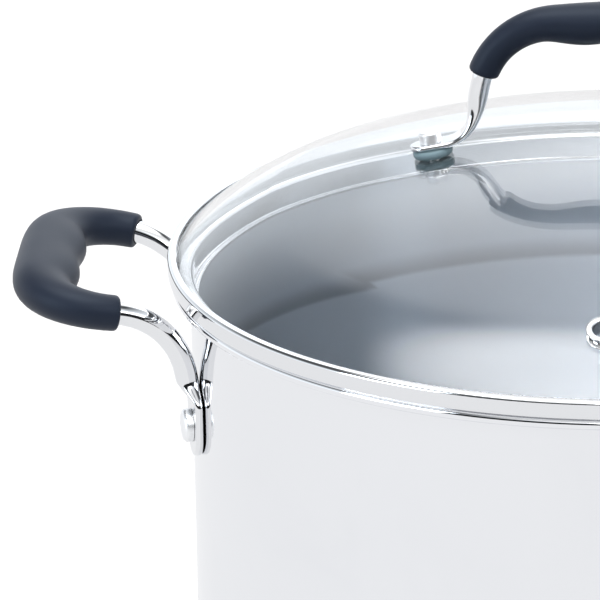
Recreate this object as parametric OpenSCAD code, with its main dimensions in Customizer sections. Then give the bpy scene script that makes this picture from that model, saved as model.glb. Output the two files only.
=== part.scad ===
// Water bath canner: a tall steel pot with two riveted, sleeved bow handles, a domed
// glass lid in a steel ring, and a wire jar rack with two fold-down lifting bails.
// Millimetres, +Z up, origin at the centre of the base's underside, side handles along X.

/* [Pot] */
// Diameter inside the pot's wall
pot_bore = 300; // [240:1:380]
// Depth inside, from the floor to the top of the rolled rim
pot_depth = 280; // [230:1:350]
// Steel thickness of the wall and the floor
wall_t = 0.8; // [0.6:0.1:1.2]
// Radius of the corner between floor and wall, at the middle of the steel
corner_r = 10.4; // [6:0.2:11]
// Radius of the flare under the rim, at the middle of the steel
flare_r = 12; // [9:0.5:14]
// Angle that the flare turns outward
flare_turn = 50; // [42:1:58]
// Radius of the curl along the rim, at the middle of the steel
curl_r = 1.5; // [1.2:0.1:2]

/* [Base] */
// Thickness of the aluminium core under the floor
core_t = 4.6; // [4:0.2:8]
// Thickness of the steel cap that closes the core in
cap_t = 0.6; // [0.4:0.1:0.8]
// Radius of the base's lower edge
base_edge_r = 3; // [2:0.2:4]
// Distance that the base is set in from the wall
base_inset = 11.5; // [11.5:0.5:30]

/* [Side handles] */
// Diameter of the handle rod
rod_d = 8; // [6.5:0.5:9]
// Distance from the wall to the middle of the handle rod
handle_reach = 49.3; // [46:0.1:60]
// Distance between the middles of the two riveted tabs
handle_spread = 76; // [70:1:92]
// Depth of the top of the leg's bend under the top of the rim
handle_below_rim = 3; // [0:0.2:12]
// Slope at which the bow rises outward from the leg's bend
bow_slope = 8.5; // [0:0.5:12]
// Radius of the bend from the bow down to the tab
leg_bend_r = 28.5; // [26:0.5:38]
// Radius of the bends at the two ends of the bow
bow_r = 21; // [17:1:26]
// Width of the flattened tab
tab_w = 18; // [14:0.5:20]
// Thickness of the flattened tab
tab_t = 2.8; // [2:0.1:3.6]
// Length of the tab below the bend
tab_len = 26; // [24:0.1:32]
// Length of the tab that is pressed flat, from its lower end
tab_flat = 19.4; // [18:0.1:23]
// Length over which the rod is pressed from round to flat
press_len = 9; // [6:0.5:14]
// Height of the rivet above the tab's lower end
rivet_up = 11; // [9:0.1:12]

/* [Rivets] */
// Diameter of the rivet's shank
rivet_d = 5; // [4:0.5:6]
// Diameter of the rivet's outer head
rivet_head_d = 11.6; // [9:0.2:13]
// Thickness of the rivet's outer head
rivet_head_t = 3.4; // [2:0.1:5]
// Radius of the head's rounded edge
rivet_edge_r = 1.7; // [0.5:0.1:1.9]
// Diameter of the rivet's flat head inside the pot
rivet_tail_d = 9.6; // [8:0.2:11]
// Thickness of the rivet's flat head inside the pot
rivet_tail_t = 1.2; // [0.8:0.1:1.6]

/* [Side grips] */
// Distance along the rod from the wall to the grip's end, seen from above
grip_start = 23.4; // [21:0.1:30]
// Diameter of the grip at its ends
grip_end_d = 12.6; // [12:0.1:15]
// Width of the grip across its middle
grip_mid_w = 23.5; // [18:0.5:28]
// Height of the grip at its middle
grip_mid_h = 17; // [14:0.5:22]
// Depth of the finger waves on the grip's inner side
grip_wave = 1.3; // [0.4:0.1:2]
// Distance between the crests of the two finger waves
grip_wave_gap = 28; // [22:1:32]

/* [Lid] */
// Height of the glass dome above the top of the ring
dome_h = 38; // [31:1:48]
// Radius of the dome's shoulder
shoulder_r = 90; // [70:1:96]
// Slope of the glass where it meets the ring
foot_slope = 42; // [38:1:46]
// Thickness of the glass
glass_t = 4; // [3.5:0.1:5]
// Height of the steel ring's outer band
ring_h = 6.5; // [6:0.1:9]
// Thickness of the ring's steel
ring_t = 0.6; // [0.4:0.1:0.8]
// Width of the ring's lip on top of the glass
ring_lip = 3; // [2.5:0.1:4]
// Distance that the ring reaches past the pot's rim
ring_past = 1; // [0.5:0.1:2]
// Length of the skirt that drops inside the rim
skirt_h = 9; // [5:0.5:10]

/* [Steam vent] */
// Distance from the lid's middle to the steam vent
vent_at = 131; // [115:1:136]
// Turn of the vent from the lid's front centre line
vent_turn = 2.7; // [0:0.1:20]
// Diameter of the vent's flanges
vent_flange_d = 12; // [11:0.5:14]
// Diameter of the vent's tube
vent_tube_d = 9.2; // [7:0.2:10]
// Diameter of the vent's hole
vent_hole_d = 7.6; // [4:0.2:8]

/* [Lid handle] */
// Diameter of the lid handle's rod
lid_rod_d = 7; // [6:0.5:8]
// Distance between the two screws
screw_gap = 131; // [128:1:144]
// Distance between the two legs at the level of their feet
leg_gap = 106; // [102:1:108]
// Distance between the two legs at the level of the grip
leg_top_gap = 90; // [84:1:96]
// Height of the rod above the top of the dome
lid_rod_rise = 41.8; // [36:0.1:50]
// Radius of the bend into the foot
foot_bend_r = 12; // [10:0.5:12.5]
// Radius of the bends under the grip
lid_bow_r = 26; // [22:1:28]
// Width of the flattened foot
foot_w = 10; // [9:0.5:16]
// Thickness of the flattened foot
foot_t = 2; // [1.6:0.1:4]
// Length of the foot past the screw
foot_end = 7.5; // [7:0.5:9]

/* [Lid grip] */
// Distance along the rod from the bend's start to the lid grip's end
lid_grip_start = 3.3; // [0:0.1:5]
// Diameter of the lid grip at its ends
lid_grip_end_d = 11; // [10:0.1:13]
// Height of the lid grip at its middle
lid_grip_mid_h = 15.8; // [13:0.1:18]
// Width of the lid grip at its middle
lid_grip_mid_w = 17; // [13:0.1:20]
// Depth of the finger waves under the lid grip
lid_grip_wave = 1.8; // [0.4:0.1:2.2]
// Distance between the crests of the waves under the lid grip
lid_grip_wave_gap = 31; // [26:1:34]

/* [Lid screws] */
// Diameter of the screw
screw_d = 5; // [4:0.5:5.5]
// Diameter of the screw's head under the lid
screw_head_d = 9; // [8:0.2:10]
// Height of the screw's head
screw_head_h = 2.6; // [2:0.1:3.5]
// Diameter of the plain cap nut on the foot
cap_nut_d = 7.8; // [7.2:0.1:10]
// Height of the cap nut
cap_nut_h = 4; // [3.4:0.1:8]
// Diameter of the soft seals on both sides of the glass
seal_d = 14; // [12:0.5:16]
// Thickness of the soft seals under the feet
seal_t = 3; // [1:0.1:4]
// Thickness of the soft seals inside the lid
inside_seal_t = 2; // [1:0.1:3]
// Diameter of the steel washer under the lid
washer_d = 12; // [10:0.5:14]
// Thickness of the steel washer
washer_t = 0.8; // [0.6:0.1:1.2]

/* [Jar rack] */
// Radius of the rack's outer ring, at the middle of its wire
rack_r = 136; // [112:1:138]
// Number of rings
rack_rings = 5; // [4:1:5]
// Distance between the rings, at the middle of their wires
rack_pitch = 29; // [24:1:29]
// Number of spokes under the rings
rack_spokes = 8; // [6:2:12]
// Diameter of the rings' wire
rack_wire_d = 4.5; // [3.5:0.5:5]
// Diameter of the spokes' and the feet's wire
spoke_d = 4; // [3:0.5:4.5]
// Height of the rings above the pot's floor, at the middle of their wire
rack_rise = 18; // [15:1:28]
// Radius of the round ends of the feet, at the middle of their wire
foot_loop_r = 8; // [6:0.5:9]

/* [Rack bails] */
// Diameter of the bails' wire
bail_d = 4; // [3:0.5:4.5]
// Distance from the rack's middle to the bar that a bail turns on
bail_at = 120; // [102:1:122]
// Distance between the two eyes of a bail
bail_w = 56; // [44:1:60]
// Length of a bail, from its bar to its top
bail_len = 108; // [80:1:112]
// Radius of the bends at the top of a bail
bail_bend_r = 10; // [8:1:20]

/* [Fits] */
// Gap between pieces that lift or turn apart
lift_gap = 0.3; // [0.2:0.05:0.4]
// Gap between pieces that are clamped or riveted together
clamp_gap = 0.1; // [0.05:0.05:0.15]
// Gap between the glass and the ring round it
glass_gap = 0.15; // [0.1:0.05:0.3]
// Gap between the skirt and the wall
skirt_gap = 0.8; // [0.5:0.1:1.5]
// Gap between a grip's bore and its rod
sleeve_gap = 0.35; // [0.3:0.05:0.45]
// Depth that crossing wires sink into each other at a weld
weld_sink = 0.5; // [0.4:0.05:0.8]

/* [Hidden] */
$fn = 96;

steel = [0.80, 0.81, 0.83];
bright_steel = [0.87, 0.88, 0.90];
aluminium = [0.70, 0.71, 0.72];
grip_blue_grey = [0.16, 0.18, 0.23];
seal_teal = [0.45, 0.55, 0.58];
clear_glass = [0.82, 0.90, 0.90, 0.35];

// Points on a quarter turn of an outline
arc_steps = 8;
// Sides of the rods and of the grips
rod_sides = 16;
grip_sides = 20;

// Pot and base
pot_r = pot_bore / 2;
wall_mid_r = pot_r + wall_t / 2;
pot_out_r = pot_r + wall_t;
base_top = cap_t + core_t;
floor_z = base_top + wall_t;
rim_z = floor_z + pot_depth;
flare_end_z = rim_z - wall_t / 2 - curl_r * (1 - sin(flare_turn));
flare_z = flare_end_z - flare_r * sin(flare_turn);
flare_end_r = wall_mid_r + flare_r * (1 - cos(flare_turn));
curl_mid = [flare_end_r + curl_r * cos(flare_turn), flare_end_z - curl_r * sin(flare_turn)];
// Angles past the flare at which the curl's own outline starts and ends
curl_start = 8;
curl_end = 262;
rim_out_r = curl_mid.x + curl_r + wall_t / 2;
base_r = pot_out_r - base_inset;
core_r = base_r - cap_t - clamp_gap;
core_edge_r = base_edge_r - cap_t;

// Side handles
// The rod comes down along the wall, and its tab is pressed flat against it
rod_mid_r = pot_out_r + clamp_gap + rod_d / 2;
leg_turn = asin(handle_spread / 2 / rod_mid_r);
leg_way = [cos(leg_turn), sin(leg_turn)];
bow_x = pot_out_r + handle_reach;
leg_run = (bow_x - bow_r * (1 + sin(leg_turn))) / cos(leg_turn) - rod_mid_r;
bow_mid = (rod_mid_r + leg_run) * leg_way + bow_r * [leg_way.y, -leg_way.x];
bow_arc = bow_r * (90 + leg_turn) * PI / 180;
half_run = leg_run + bow_arc + bow_mid.y;
bend_top_z = rim_z - handle_below_rim;
tab_top_z = bend_top_z - leg_bend_r;
bend_run = leg_bend_r * (1 - sin(bow_slope));
bend_end_z = tab_top_z + leg_bend_r * cos(bow_slope);
bend_end_x = (rod_mid_r + bend_run) * cos(leg_turn);
tab_end_z = tab_top_z - tab_len;
rivet_z = tab_end_z + rivet_up;
press_z = tab_end_z + tab_flat;

// Lid
ring_z = rim_z + lift_gap;
ring_top = ring_z + ring_h;
ring_r = rim_out_r + ring_past;
band_r = ring_r - ring_t / 2;
band_corner_r = 1;
skirt_corner_r = 1.5;
hem_r = 0.8;
hem_turn = 200;
skirt_r = pot_r - skirt_gap - ring_t / 2;
flange_top = ring_top - ring_t - glass_gap;
flange_low = ring_z + ring_t + glass_gap;
flange_r = ring_r - ring_t - glass_gap;
glass_edge_r = band_corner_r + glass_gap;
glass_foot = [ring_r - ring_lip - lift_gap, flange_top];
crown_z = ring_top + dome_h;
shoulder_mid = glass_foot - shoulder_r * [sin(foot_slope), cos(foot_slope)];
crown_drop = shoulder_mid.y - crown_z;
crown_r = (pow(shoulder_r, 2) - pow(crown_drop, 2) - pow(shoulder_mid.x, 2))
    / (2 * (crown_drop + shoulder_r));
crown_mid = [0, crown_z - crown_r];
crown_turn = atan2(shoulder_mid.x, shoulder_mid.y - crown_mid.y);
// Steps along the crown's outline, which strays no further from its arc than this at any size
crown_stray = 0.085;
crown_count = ceil(crown_turn / (2 * acos(1 - crown_stray / crown_r)));
inner_turn = acos((flange_low - shoulder_mid.y) / (shoulder_r - glass_t));
// The vent takes its height and its slope from the part of the dome that it stands on
vent_in_crown = vent_at < crown_r * sin(crown_turn);
vent_mid = vent_in_crown ? crown_mid : shoulder_mid;
vent_dome_r = vent_in_crown ? crown_r : shoulder_r;
vent_slope = asin((vent_at - vent_mid.x) / vent_dome_r);
vent_z = vent_mid.y + vent_dome_r * cos(vent_slope);

// Lid handle, in the plane of its rod: across, up
screw_turn = asin(screw_gap / 2 / crown_r);
screw_foot = crown_mid + crown_r * [sin(screw_turn), cos(screw_turn)];
foot_line = [cos(screw_turn), -sin(screw_turn)];
foot_mid = screw_foot + (seal_t + foot_t / 2) * [sin(screw_turn), cos(screw_turn)];
foot_tip = foot_mid + foot_end * foot_line;
leg_foot = foot_mid + (leg_gap / 2 - foot_mid.x) / foot_line.x * foot_line;
lid_rod_z = crown_z + lid_rod_rise;
leg_top = [leg_top_gap / 2, lid_rod_z];
inside_seal_gap = clamp_gap + pow(seal_d / 2, 2) / 2 / (crown_r - glass_t);
cap_nut_z = seal_t + foot_t;
screw_head_z = -glass_t - inside_seal_gap - inside_seal_t - washer_t;
// Share of the cap nut's height that the screw fills
nut_fill = 0.7;
screw_tip_z = cap_nut_z + nut_fill * cap_nut_h;

// Jar rack
rack_feet = 4;
rack_z = floor_z + rack_rise;
spoke_z = rack_z - rack_wire_d / 2 - spoke_d / 2 + weld_sink;
spoke_from = rack_r - (rack_rings - 1) * rack_pitch - rack_wire_d / 2;
foot_loop_z = floor_z + lift_gap + spoke_d / 2 + foot_loop_r;
bar_z = rack_z + rack_wire_d / 2 + bail_d / 2 - weld_sink;
bar_half = sqrt(pow(rack_r, 2) - pow(bail_at, 2)) + rack_wire_d / 2;
eye_r = bail_d + lift_gap;
bail_room_r = pot_r - bail_d / 2 - 2 * lift_gap;
bail_lean = asin((sqrt(pow(bail_room_r, 2) - pow(bail_w / 2, 2)) - bail_at) / bail_len);

// Outlines

// Eases from 0 to 1 as v goes from a to b
function ease(v, a, b) = let (t = max(0, min(1, (v - a) / (b - a)))) t * t * (3 - 2 * t);
// A bump of height 1 at m, w wide on each side
function bump(v, m, w) = (1 + cos(180 * min(1, abs(v - m) / w))) / 2;
// Points of an arc from one angle to another
function arc(mid, r, from, to, n = arc_steps) =
    [for (i = [0 : n]) let (g = from + (to - from) * i / n) mid + r * [cos(g), sin(g)]];
// Points of a round corner of radius r at b, between a and c
function corner(a, b, c, r, n = arc_steps) =
    let (u = (a - b) / norm(a - b), v = (c - b) / norm(c - b), half = acos(u * v) / 2)
    let (mid = b + r / sin(half) * (u + v) / norm(u + v), start = b + r / tan(half) * u - mid)
    let (from = atan2(start.y, start.x), way = u.x * v.y - u.y * v.x > 0 ? -1 : 1)
    arc(mid, r, from, from + way * (180 - 2 * half), n);
// Unit direction of a path at point i
function path_way(path, i) =
    let (d = path[min(i + 1, len(path) - 1)] - path[max(i - 1, 0)]) d / norm(d);
// Outline of a sheet of thickness t whose middle follows a path
function sheet(path, t) =
    let (n = len(path), side = [for (i = [0 : n - 1]) let (d = path_way(path, i)) [-d.y, d.x]])
    concat(
        [for (i = [0 : n - 1]) path[i] + t / 2 * side[i]],
        [for (i = [n - 1 : -1 : 0]) path[i] - t / 2 * side[i]]);

// Lofts

function signed_pow(v, e) = sign(v) * pow(abs(v), e);
// Ring of n points round p: a wide on each side and b high, rounder as e nears 1
function section(p, side, up, a, b, e = 1, n = rod_sides) =
    [for (i = [0 : n - 1]) let (g = 360 * i / n)
        p + a * signed_pow(cos(g), e) * side + b * signed_pow(sin(g), e) * up];
// Faces of the wall through rings of n points
function skin(rings, n, first = 0, inward = false) =
    [for (k = [0 : rings - 2]) for (i = [0 : n - 1])
        let (p = first + k * n, q = p + n, j = (i + 1) % n)
        each inward
            ? [[q + j, q + i, p + i], [p + j, q + j, p + i]]
            : [[p + i, q + i, q + j], [p + i, q + j, p + j]]];
// Closed solid through a list of rings
module loft(rings) {
    n = len(rings[0]);
    last = (len(rings) - 1) * n;
    start_cap = [for (i = [0 : n - 1]) i];
    end_cap = [for (i = [n - 1 : -1 : 0]) last + i];
    polyhedron([for (r = rings) each r], concat(skin(len(rings), n), [start_cap, end_cap]), 8);
}
// Sleeve between a list of outer rings and a list of inner rings
module sleeve(outer, inner) {
    n = len(outer[0]);
    bore = len(outer) * n;
    last = bore - n;
    start_faces = [for (i = [0 : n - 1]) let (j = (i + 1) % n)
        each [[i, j, bore + j], [i, bore + j, bore + i]]];
    end_faces = [for (i = [0 : n - 1]) let (p = last + i, q = last + (i + 1) % n)
        each [[q, p, bore + p], [q, bore + p, bore + q]]];
    polyhedron(
        [for (r = concat(outer, inner)) each r],
        concat(skin(len(outer), n), skin(len(inner), n, bore, true), start_faces, end_faces), 8);
}

// Side handle's rod. A station is [point, heading, slope, distance run, seen from above].
// The leg bends up from the tab, and the bow lies in a plane that rises outward.

function bow_heading(s) = max(-90, leg_turn - max(0, s - leg_run) / bow_r * 180 / PI);
function bow_point(s) =
    s <= leg_run ? (rod_mid_r + s) * leg_way
    : s <= leg_run + bow_arc ? bow_mid + bow_r * [-sin(bow_heading(s)), cos(bow_heading(s))]
    : [bow_x, half_run - s];
function rod_z(s) =
    s < bend_run ? tab_top_z + sqrt(pow(leg_bend_r, 2) - pow(leg_bend_r - s, 2))
    : bend_end_z + tan(bow_slope) * (bow_point(s).x - bend_end_x);
function rod_slope(s) =
    s < bend_run ? asin((leg_bend_r - s) / leg_bend_r)
    : atan(tan(bow_slope) * cos(bow_heading(s)));
function station(s) =
    let (p = bow_point(s)) [[p.x, p.y, rod_z(s)], bow_heading(s), rod_slope(s), s];
function tab_station(z) =
    let (p = bow_point(0)) [[p.x, p.y, z], leg_turn, 90, 0];
// The same station on the other half of the handle, met on the way back to the wall
function mirrored(st) = [[st[0].x, -st[0].y, st[0].z], -180 - st[1], -st[2], st[3]];
function both_halves(half) =
    concat(half, [for (i = [len(half) - 1 : -1 : 0]) mirrored(half[i])]);
bow_up = [-sin(bow_slope), 0, cos(bow_slope)];
function st_way(st) = [cos(st[2]) * cos(st[1]), cos(st[2]) * sin(st[1]), sin(st[2])];
function st_up(st) =
    let (d = st_way(st), square = bow_up - bow_up * d * d)
    st[3] < bend_run ? [-sin(st[2]) * cos(st[1]), -sin(st[2]) * sin(st[1]), cos(st[2])]
    : square / norm(square);
function st_side(st) = cross(st_up(st), st_way(st));

// How square a flattened section is
flat_square = 0.5;
// Share of a flat end's width that is left at its tip
tip_share = 0.03;
// Half width of a flat end of width w at a distance from its tip, which is round
function flat_half(w, far) =
    let (left = max(tip_share * w, far), r = w / 2) left < r ? sqrt(pow(r, 2) - pow(r - left, 2)) : r;
// Section of the rod, which is pressed into the tab with its inner side kept along the wall
function rod_section(st) =
    let (flat = 1 - ease(st[0].z, press_z, press_z + press_len))
    let (a = flat_half(tab_w, st[0].z - tab_end_z) * flat + rod_d / 2 * (1 - flat))
    let (b = tab_t / 2 * flat + rod_d / 2 * (1 - flat))
    section(st[0] + (rod_d / 2 - b) * st_up(st), st_side(st), st_up(st), a, b, 1 - flat_square * flat);
// Stations of a flat end, as shares of half its width
flat_end_steps = [0.02, 0.16, 0.42, 0.72, 1];
press_count = 4;
bend_count = 10;
bow_step = 12;
bow_left = leg_run + bow_arc - bend_run;
bow_count = ceil(bow_left / (bow_r * bow_step * PI / 180));
rod_stations = concat(
    [for (f = flat_end_steps) tab_station(tab_end_z + f * tab_w / 2)],
    [for (i = [0 : press_count - 1]) tab_station(press_z + (tab_top_z - press_z) * i / press_count)],
    [for (i = [0 : bend_count]) station(leg_bend_r * (1 - cos((90 - bow_slope) * i / bend_count)))],
    [for (i = [1 : bow_count]) station(bend_run + bow_left * i / bow_count)]);

// Side grip: swells towards its middle, with two finger waves on its inner side
grip_end_round = 1.5;
// Shares of the round end at which its first stations stand
end_steps = [0, 0.35];
grip_count = 15;
// The last stations of both halves stand half a step from the middle
half_step = 0.5;
// Share of the half grip over which it swells to its full size
full_grip = 0.8;
grip_run = half_run - grip_start;
grip_stations = concat(
    [for (f = end_steps) station(grip_start + f * grip_end_round)],
    [for (i = [0 : grip_count])
        station(grip_start + grip_end_round + (grip_run - grip_end_round) * i / (grip_count + half_step))]);
function grip_swell(st) = ease(st[3], grip_start, grip_start + full_grip * grip_run);
function grip_edge(st) = let (t = min(1, (st[3] - grip_start) / grip_end_round))
    grip_end_round * (1 - sqrt(1 - pow(1 - t, 2)));
function grip_inset(st) =
    let (from_mid = half_run - st[3], crest = grip_wave_gap / 2)
    grip_wave * grip_swell(st) * (1 - bump(from_mid, crest, crest));
function grip_section(st) =
    let (g = grip_swell(st), end = grip_end_d / 2 - grip_edge(st))
    let (a = end + (grip_mid_w / 2 - end) * g, b = end + (grip_mid_h / 2 - end) * g)
    [for (i = [0 : grip_sides - 1]) let (t = 360 * i / grip_sides)
        st[0] + (cos(t) > 0 ? a : a - grip_inset(st)) * cos(t) * st_side(st) + b * sin(t) * st_up(st)];
function bore_section(st, r) = section(st[0], st_side(st), st_up(st), r, r, 1, grip_sides);

// Lid handle's rod and grip, from the right foot to the left one

function across(p) = [p.x, 0, p.y];
function mirrored_path(half) =
    concat(half, [for (i = [len(half) - 1 : -1 : 0]) [-half[i].x, half[i].y]]);
foot_path = [for (f = flat_end_steps) foot_tip - f * foot_w / 2 * foot_line];
foot_bend = corner(foot_tip, leg_foot, leg_top, foot_bend_r);
lid_bow = corner(leg_foot, leg_top, [0, lid_rod_z], lid_bow_r);
lid_rod_path = mirrored_path(concat(foot_path, foot_bend, lid_bow));
// Round share of the section at a point of the right half: 0 in the foot, 1 past the bend
function lid_round(p) =
    ease(p.y, foot_bend[0].y, foot_bend[arc_steps].y + foot_bend_r / 2);
function lid_section(path, i) =
    let (p = path[i], d = path_way(path, i), flat = 1 - lid_round(p))
    let (a = flat_half(foot_w, foot_tip.x - abs(p.x)))
    section(across(p), [0, -1, 0], [d.y, 0, -d.x],
        a * flat + lid_rod_d / 2 * (1 - flat), foot_t / 2 * flat + lid_rod_d / 2 * (1 - flat),
        1 - flat_square * flat);
lid_grip_count = 7;
lid_bow_mid = [lid_bow[arc_steps].x, lid_rod_z - lid_bow_r];
lid_bow_from = atan2(lid_bow[0].y - lid_bow_mid.y, lid_bow[0].x - lid_bow_mid.x);
function lid_bow_turn(run) = lid_bow_from + run / lid_bow_r * 180 / PI;
lid_grip_half = concat(
    [for (f = end_steps) let (g = lid_bow_turn(lid_grip_start + f * grip_end_round))
        lid_bow_mid + lid_bow_r * [cos(g), sin(g)]],
    arc(lid_bow_mid, lid_bow_r, lid_bow_turn(lid_grip_start + grip_end_round), 90),
    [for (i = [1 : lid_grip_count]) [lid_bow_mid.x * (1 - i / (lid_grip_count + half_step)), lid_rod_z]]);
lid_grip_end = lid_grip_half[0];
lid_grip_path = mirrored_path(lid_grip_half);
function lid_grip_section(i) =
    let (p = lid_grip_path[i], d = path_way(lid_grip_path, i), far = lid_grip_end.x)
    let (g = ease(far - abs(p.x), 0, far), t = min(1, (p.y - lid_grip_end.y) / grip_end_round))
    let (end = lid_grip_end_d / 2 - grip_end_round * (1 - sqrt(1 - pow(1 - t, 2))))
    let (a = end + (lid_grip_mid_w / 2 - end) * g, b = end + (lid_grip_mid_h / 2 - end) * g)
    let (crest = lid_grip_wave_gap / 2)
    let (low = b - lid_grip_wave * g * (1 - bump(abs(p.x), crest, crest)))
    [for (k = [0 : grip_sides - 1]) let (t = 360 * k / grip_sides)
        across(p) + a * cos(t) * [0, -1, 0] + (sin(t) > 0 ? b : low) * sin(t) * [d.y, 0, -d.x]];
function lid_bore_section(i, r) =
    let (d = path_way(lid_grip_path, i))
    section(across(lid_grip_path[i]), [0, -1, 0], [d.y, 0, -d.x], r, r, 1, grip_sides);
// Radius at the corners of a many-sided bore that clears a round rod
function clear_r(d) = (d / 2 + sleeve_gap) / cos(180 / grip_sides);

// Places

// Puts a piece on the rivet's axis, from the wall outward, with Z along the axis
module at_rivet(turn) {
    rotate([0, 0, turn]) translate([pot_out_r, 0, rivet_z]) rotate([0, 90, 0]) children();
}
// Puts a piece on a lid screw's axis, with Z up from the top of the glass
module at_screw(way) {
    rotate([0, 0, way > 0 ? 0 : 180]) translate(across(screw_foot)) rotate([0, screw_turn, 0])
        children();
}
// Puts a piece on the vent's axis, with Z up from the top of the glass
module at_vent() {
    rotate([0, 0, -90 - vent_turn]) translate([vent_at, 0, vent_z]) rotate([0, vent_slope, 0])
        children();
}
// Turns the right side's piece to the left side where way is negative
module to_side(way) {
    rotate([0, 0, way > 0 ? 0 : 180]) children();
}
module disc(d, from, to) {
    translate([0, 0, from]) cylinder(d = d, h = to - from);
}

// Pot

module pot_shell() {
    floor_mid = base_top + wall_t / 2;
    wall_path = concat(
        [[0, floor_mid]],
        arc([wall_mid_r - corner_r, floor_mid + corner_r], corner_r, -90, 0),
        arc([wall_mid_r + flare_r, flare_z], flare_r, 180, 180 - flare_turn),
        arc(curl_mid, curl_r, 180 - flare_turn - curl_start, 180 - curl_end, 2 * arc_steps));
    color(steel) difference() {
        rotate_extrude() polygon(sheet(wall_path, wall_t));
        for (turn = [-leg_turn, leg_turn, 180 - leg_turn, 180 + leg_turn])
            at_rivet(turn) disc(rivet_d + 2 * clamp_gap, -corner_r, corner_r);
    }
}

module base_core() {
    edge = arc([core_r - core_edge_r, cap_t + core_edge_r], core_edge_r, -90, 0);
    color(aluminium) rotate_extrude()
        polygon(concat([[0, cap_t]], edge, [[core_r, base_top], [0, base_top]]));
}

module base_cap() {
    mid_r = base_edge_r - cap_t / 2;
    pan_path = concat(
        [[0, cap_t / 2]],
        arc([base_r - base_edge_r, base_edge_r], mid_r, -90, 0),
        [[base_r - cap_t / 2, base_top - clamp_gap]]);
    color(steel) rotate_extrude() polygon(sheet(pan_path, cap_t));
}

// Side handles

module handle(way) {
    color(bright_steel) to_side(way) difference() {
        loft([for (st = both_halves(rod_stations)) rod_section(st)]);
        for (turn = [-leg_turn, leg_turn])
            at_rivet(turn) disc(rivet_d + 2 * clamp_gap, -tab_t, 3 * tab_t);
    }
}

module grip(way) {
    stations = both_halves(grip_stations);
    color(grip_blue_grey) to_side(way) sleeve(
        [for (st = stations) grip_section(st)],
        [for (st = stations) bore_section(st, clear_r(rod_d))]);
}

module rivet(turn) {
    head_z = tab_t + 2 * clamp_gap;
    head_r = rivet_head_d / 2;
    head_top = head_z + rivet_head_t;
    tail_z = -wall_t - clamp_gap - pow(rivet_tail_d / 2, 2) / (2 * pot_r);
    color(bright_steel) at_rivet(turn) {
        disc(rivet_d, tail_z, head_z);
        disc(rivet_tail_d, tail_z - rivet_tail_t, tail_z);
        rotate_extrude() polygon(concat(
            [[0, head_z], [head_r, head_z]],
            arc([head_r - rivet_edge_r, head_top - rivet_edge_r], rivet_edge_r, 0, 90),
            [[0, head_top]]));
    }
}

// Lid

module lid_glass() {
    edge_turn = 90 - foot_slope;
    outer = concat(
        arc(crown_mid, crown_r, 90, 90 - crown_turn, crown_count),
        arc(shoulder_mid, shoulder_r, 90 - crown_turn, edge_turn));
    inner = concat(
        arc(shoulder_mid, shoulder_r - glass_t, 90 - inner_turn, 90 - crown_turn),
        arc(crown_mid, crown_r - glass_t, 90 - crown_turn, 90, crown_count));
    rim_top = [flange_r, flange_top];
    rim_low = [flange_r, flange_low];
    rim = concat(
        corner(glass_foot, rim_top, rim_low, glass_edge_r),
        corner(rim_top, rim_low, [0, flange_low], glass_edge_r));
    color(clear_glass) difference() {
        rotate_extrude() polygon(concat(outer, rim, inner));
        for (way = [-1, 1])
            at_screw(way) disc(screw_d + 4 * glass_gap, -2 * glass_t, glass_t);
        at_vent() disc(vent_tube_d + 2 * glass_gap, -2 * glass_t, glass_t);
    }
}

module lid_ring() {
    low = ring_z + ring_t / 2;
    high = ring_top - ring_t / 2;
    lip_end = [ring_r - ring_lip, high];
    band_top = [band_r, high];
    band_low = [band_r, low];
    skirt_top = [skirt_r, low];
    skirt_end = [skirt_r, ring_z - skirt_h];
    band_path = concat(
        [lip_end],
        corner(lip_end, band_top, band_low, band_corner_r),
        corner(band_top, band_low, skirt_top, band_corner_r),
        corner(band_low, skirt_top, skirt_end, skirt_corner_r),
        arc(skirt_end - [hem_r, 0], hem_r, 0, -hem_turn));
    color(bright_steel) rotate_extrude() polygon(sheet(band_path, ring_t));
}

module vent_grommet() {
    flange_t = 0.8;
    top_gap = clamp_gap;
    low_gap = clamp_gap + pow(vent_flange_d / 2, 2) / 2 / (vent_dome_r - glass_t);
    color(bright_steel) at_vent() difference() {
        union() {
            disc(vent_tube_d, -glass_t - low_gap - flange_t, top_gap + flange_t);
            disc(vent_flange_d, top_gap, top_gap + flange_t);
            disc(vent_flange_d, -glass_t - low_gap - flange_t, -glass_t - low_gap);
        }
        disc(vent_hole_d, -3 * glass_t, 2 * glass_t);
    }
}

// Lid handle

module lid_handle() {
    color(bright_steel) difference() {
        loft([for (i = [0 : len(lid_rod_path) - 1]) lid_section(lid_rod_path, i)]);
        for (way = [-1, 1])
            at_screw(way) disc(screw_d + 2 * clamp_gap, 0, seal_t + 3 * foot_t);
    }
}

module lid_grip() {
    places = [0 : len(lid_grip_path) - 1];
    color(grip_blue_grey) sleeve(
        [for (i = places) lid_grip_section(i)],
        [for (i = places) lid_bore_section(i, clear_r(lid_rod_d))]);
}

module upper_seal(way) {
    color(seal_teal) at_screw(way) difference() {
        disc(seal_d, 0, seal_t);
        disc(screw_d + 2 * clamp_gap, -seal_t, 2 * seal_t);
    }
}

module cap_nut(way) {
    edge_r = 0.8;
    color(bright_steel) at_screw(way) difference() {
        rotate_extrude() polygon(concat(
            [[0, cap_nut_z], [cap_nut_d / 2, cap_nut_z]],
            arc([cap_nut_d / 2 - edge_r, cap_nut_z + cap_nut_h - edge_r], edge_r, 0, 90),
            [[0, cap_nut_z + cap_nut_h]]));
        disc(screw_d + 2 * clamp_gap, cap_nut_z - foot_t, screw_tip_z + clamp_gap);
    }
}

module lower_seal(way) {
    top = -glass_t - inside_seal_gap;
    color(seal_teal) at_screw(way) difference() {
        disc(seal_d, top - inside_seal_t, top);
        disc(screw_d + 2 * clamp_gap, top - 2 * inside_seal_t, top + inside_seal_t);
    }
}

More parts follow.
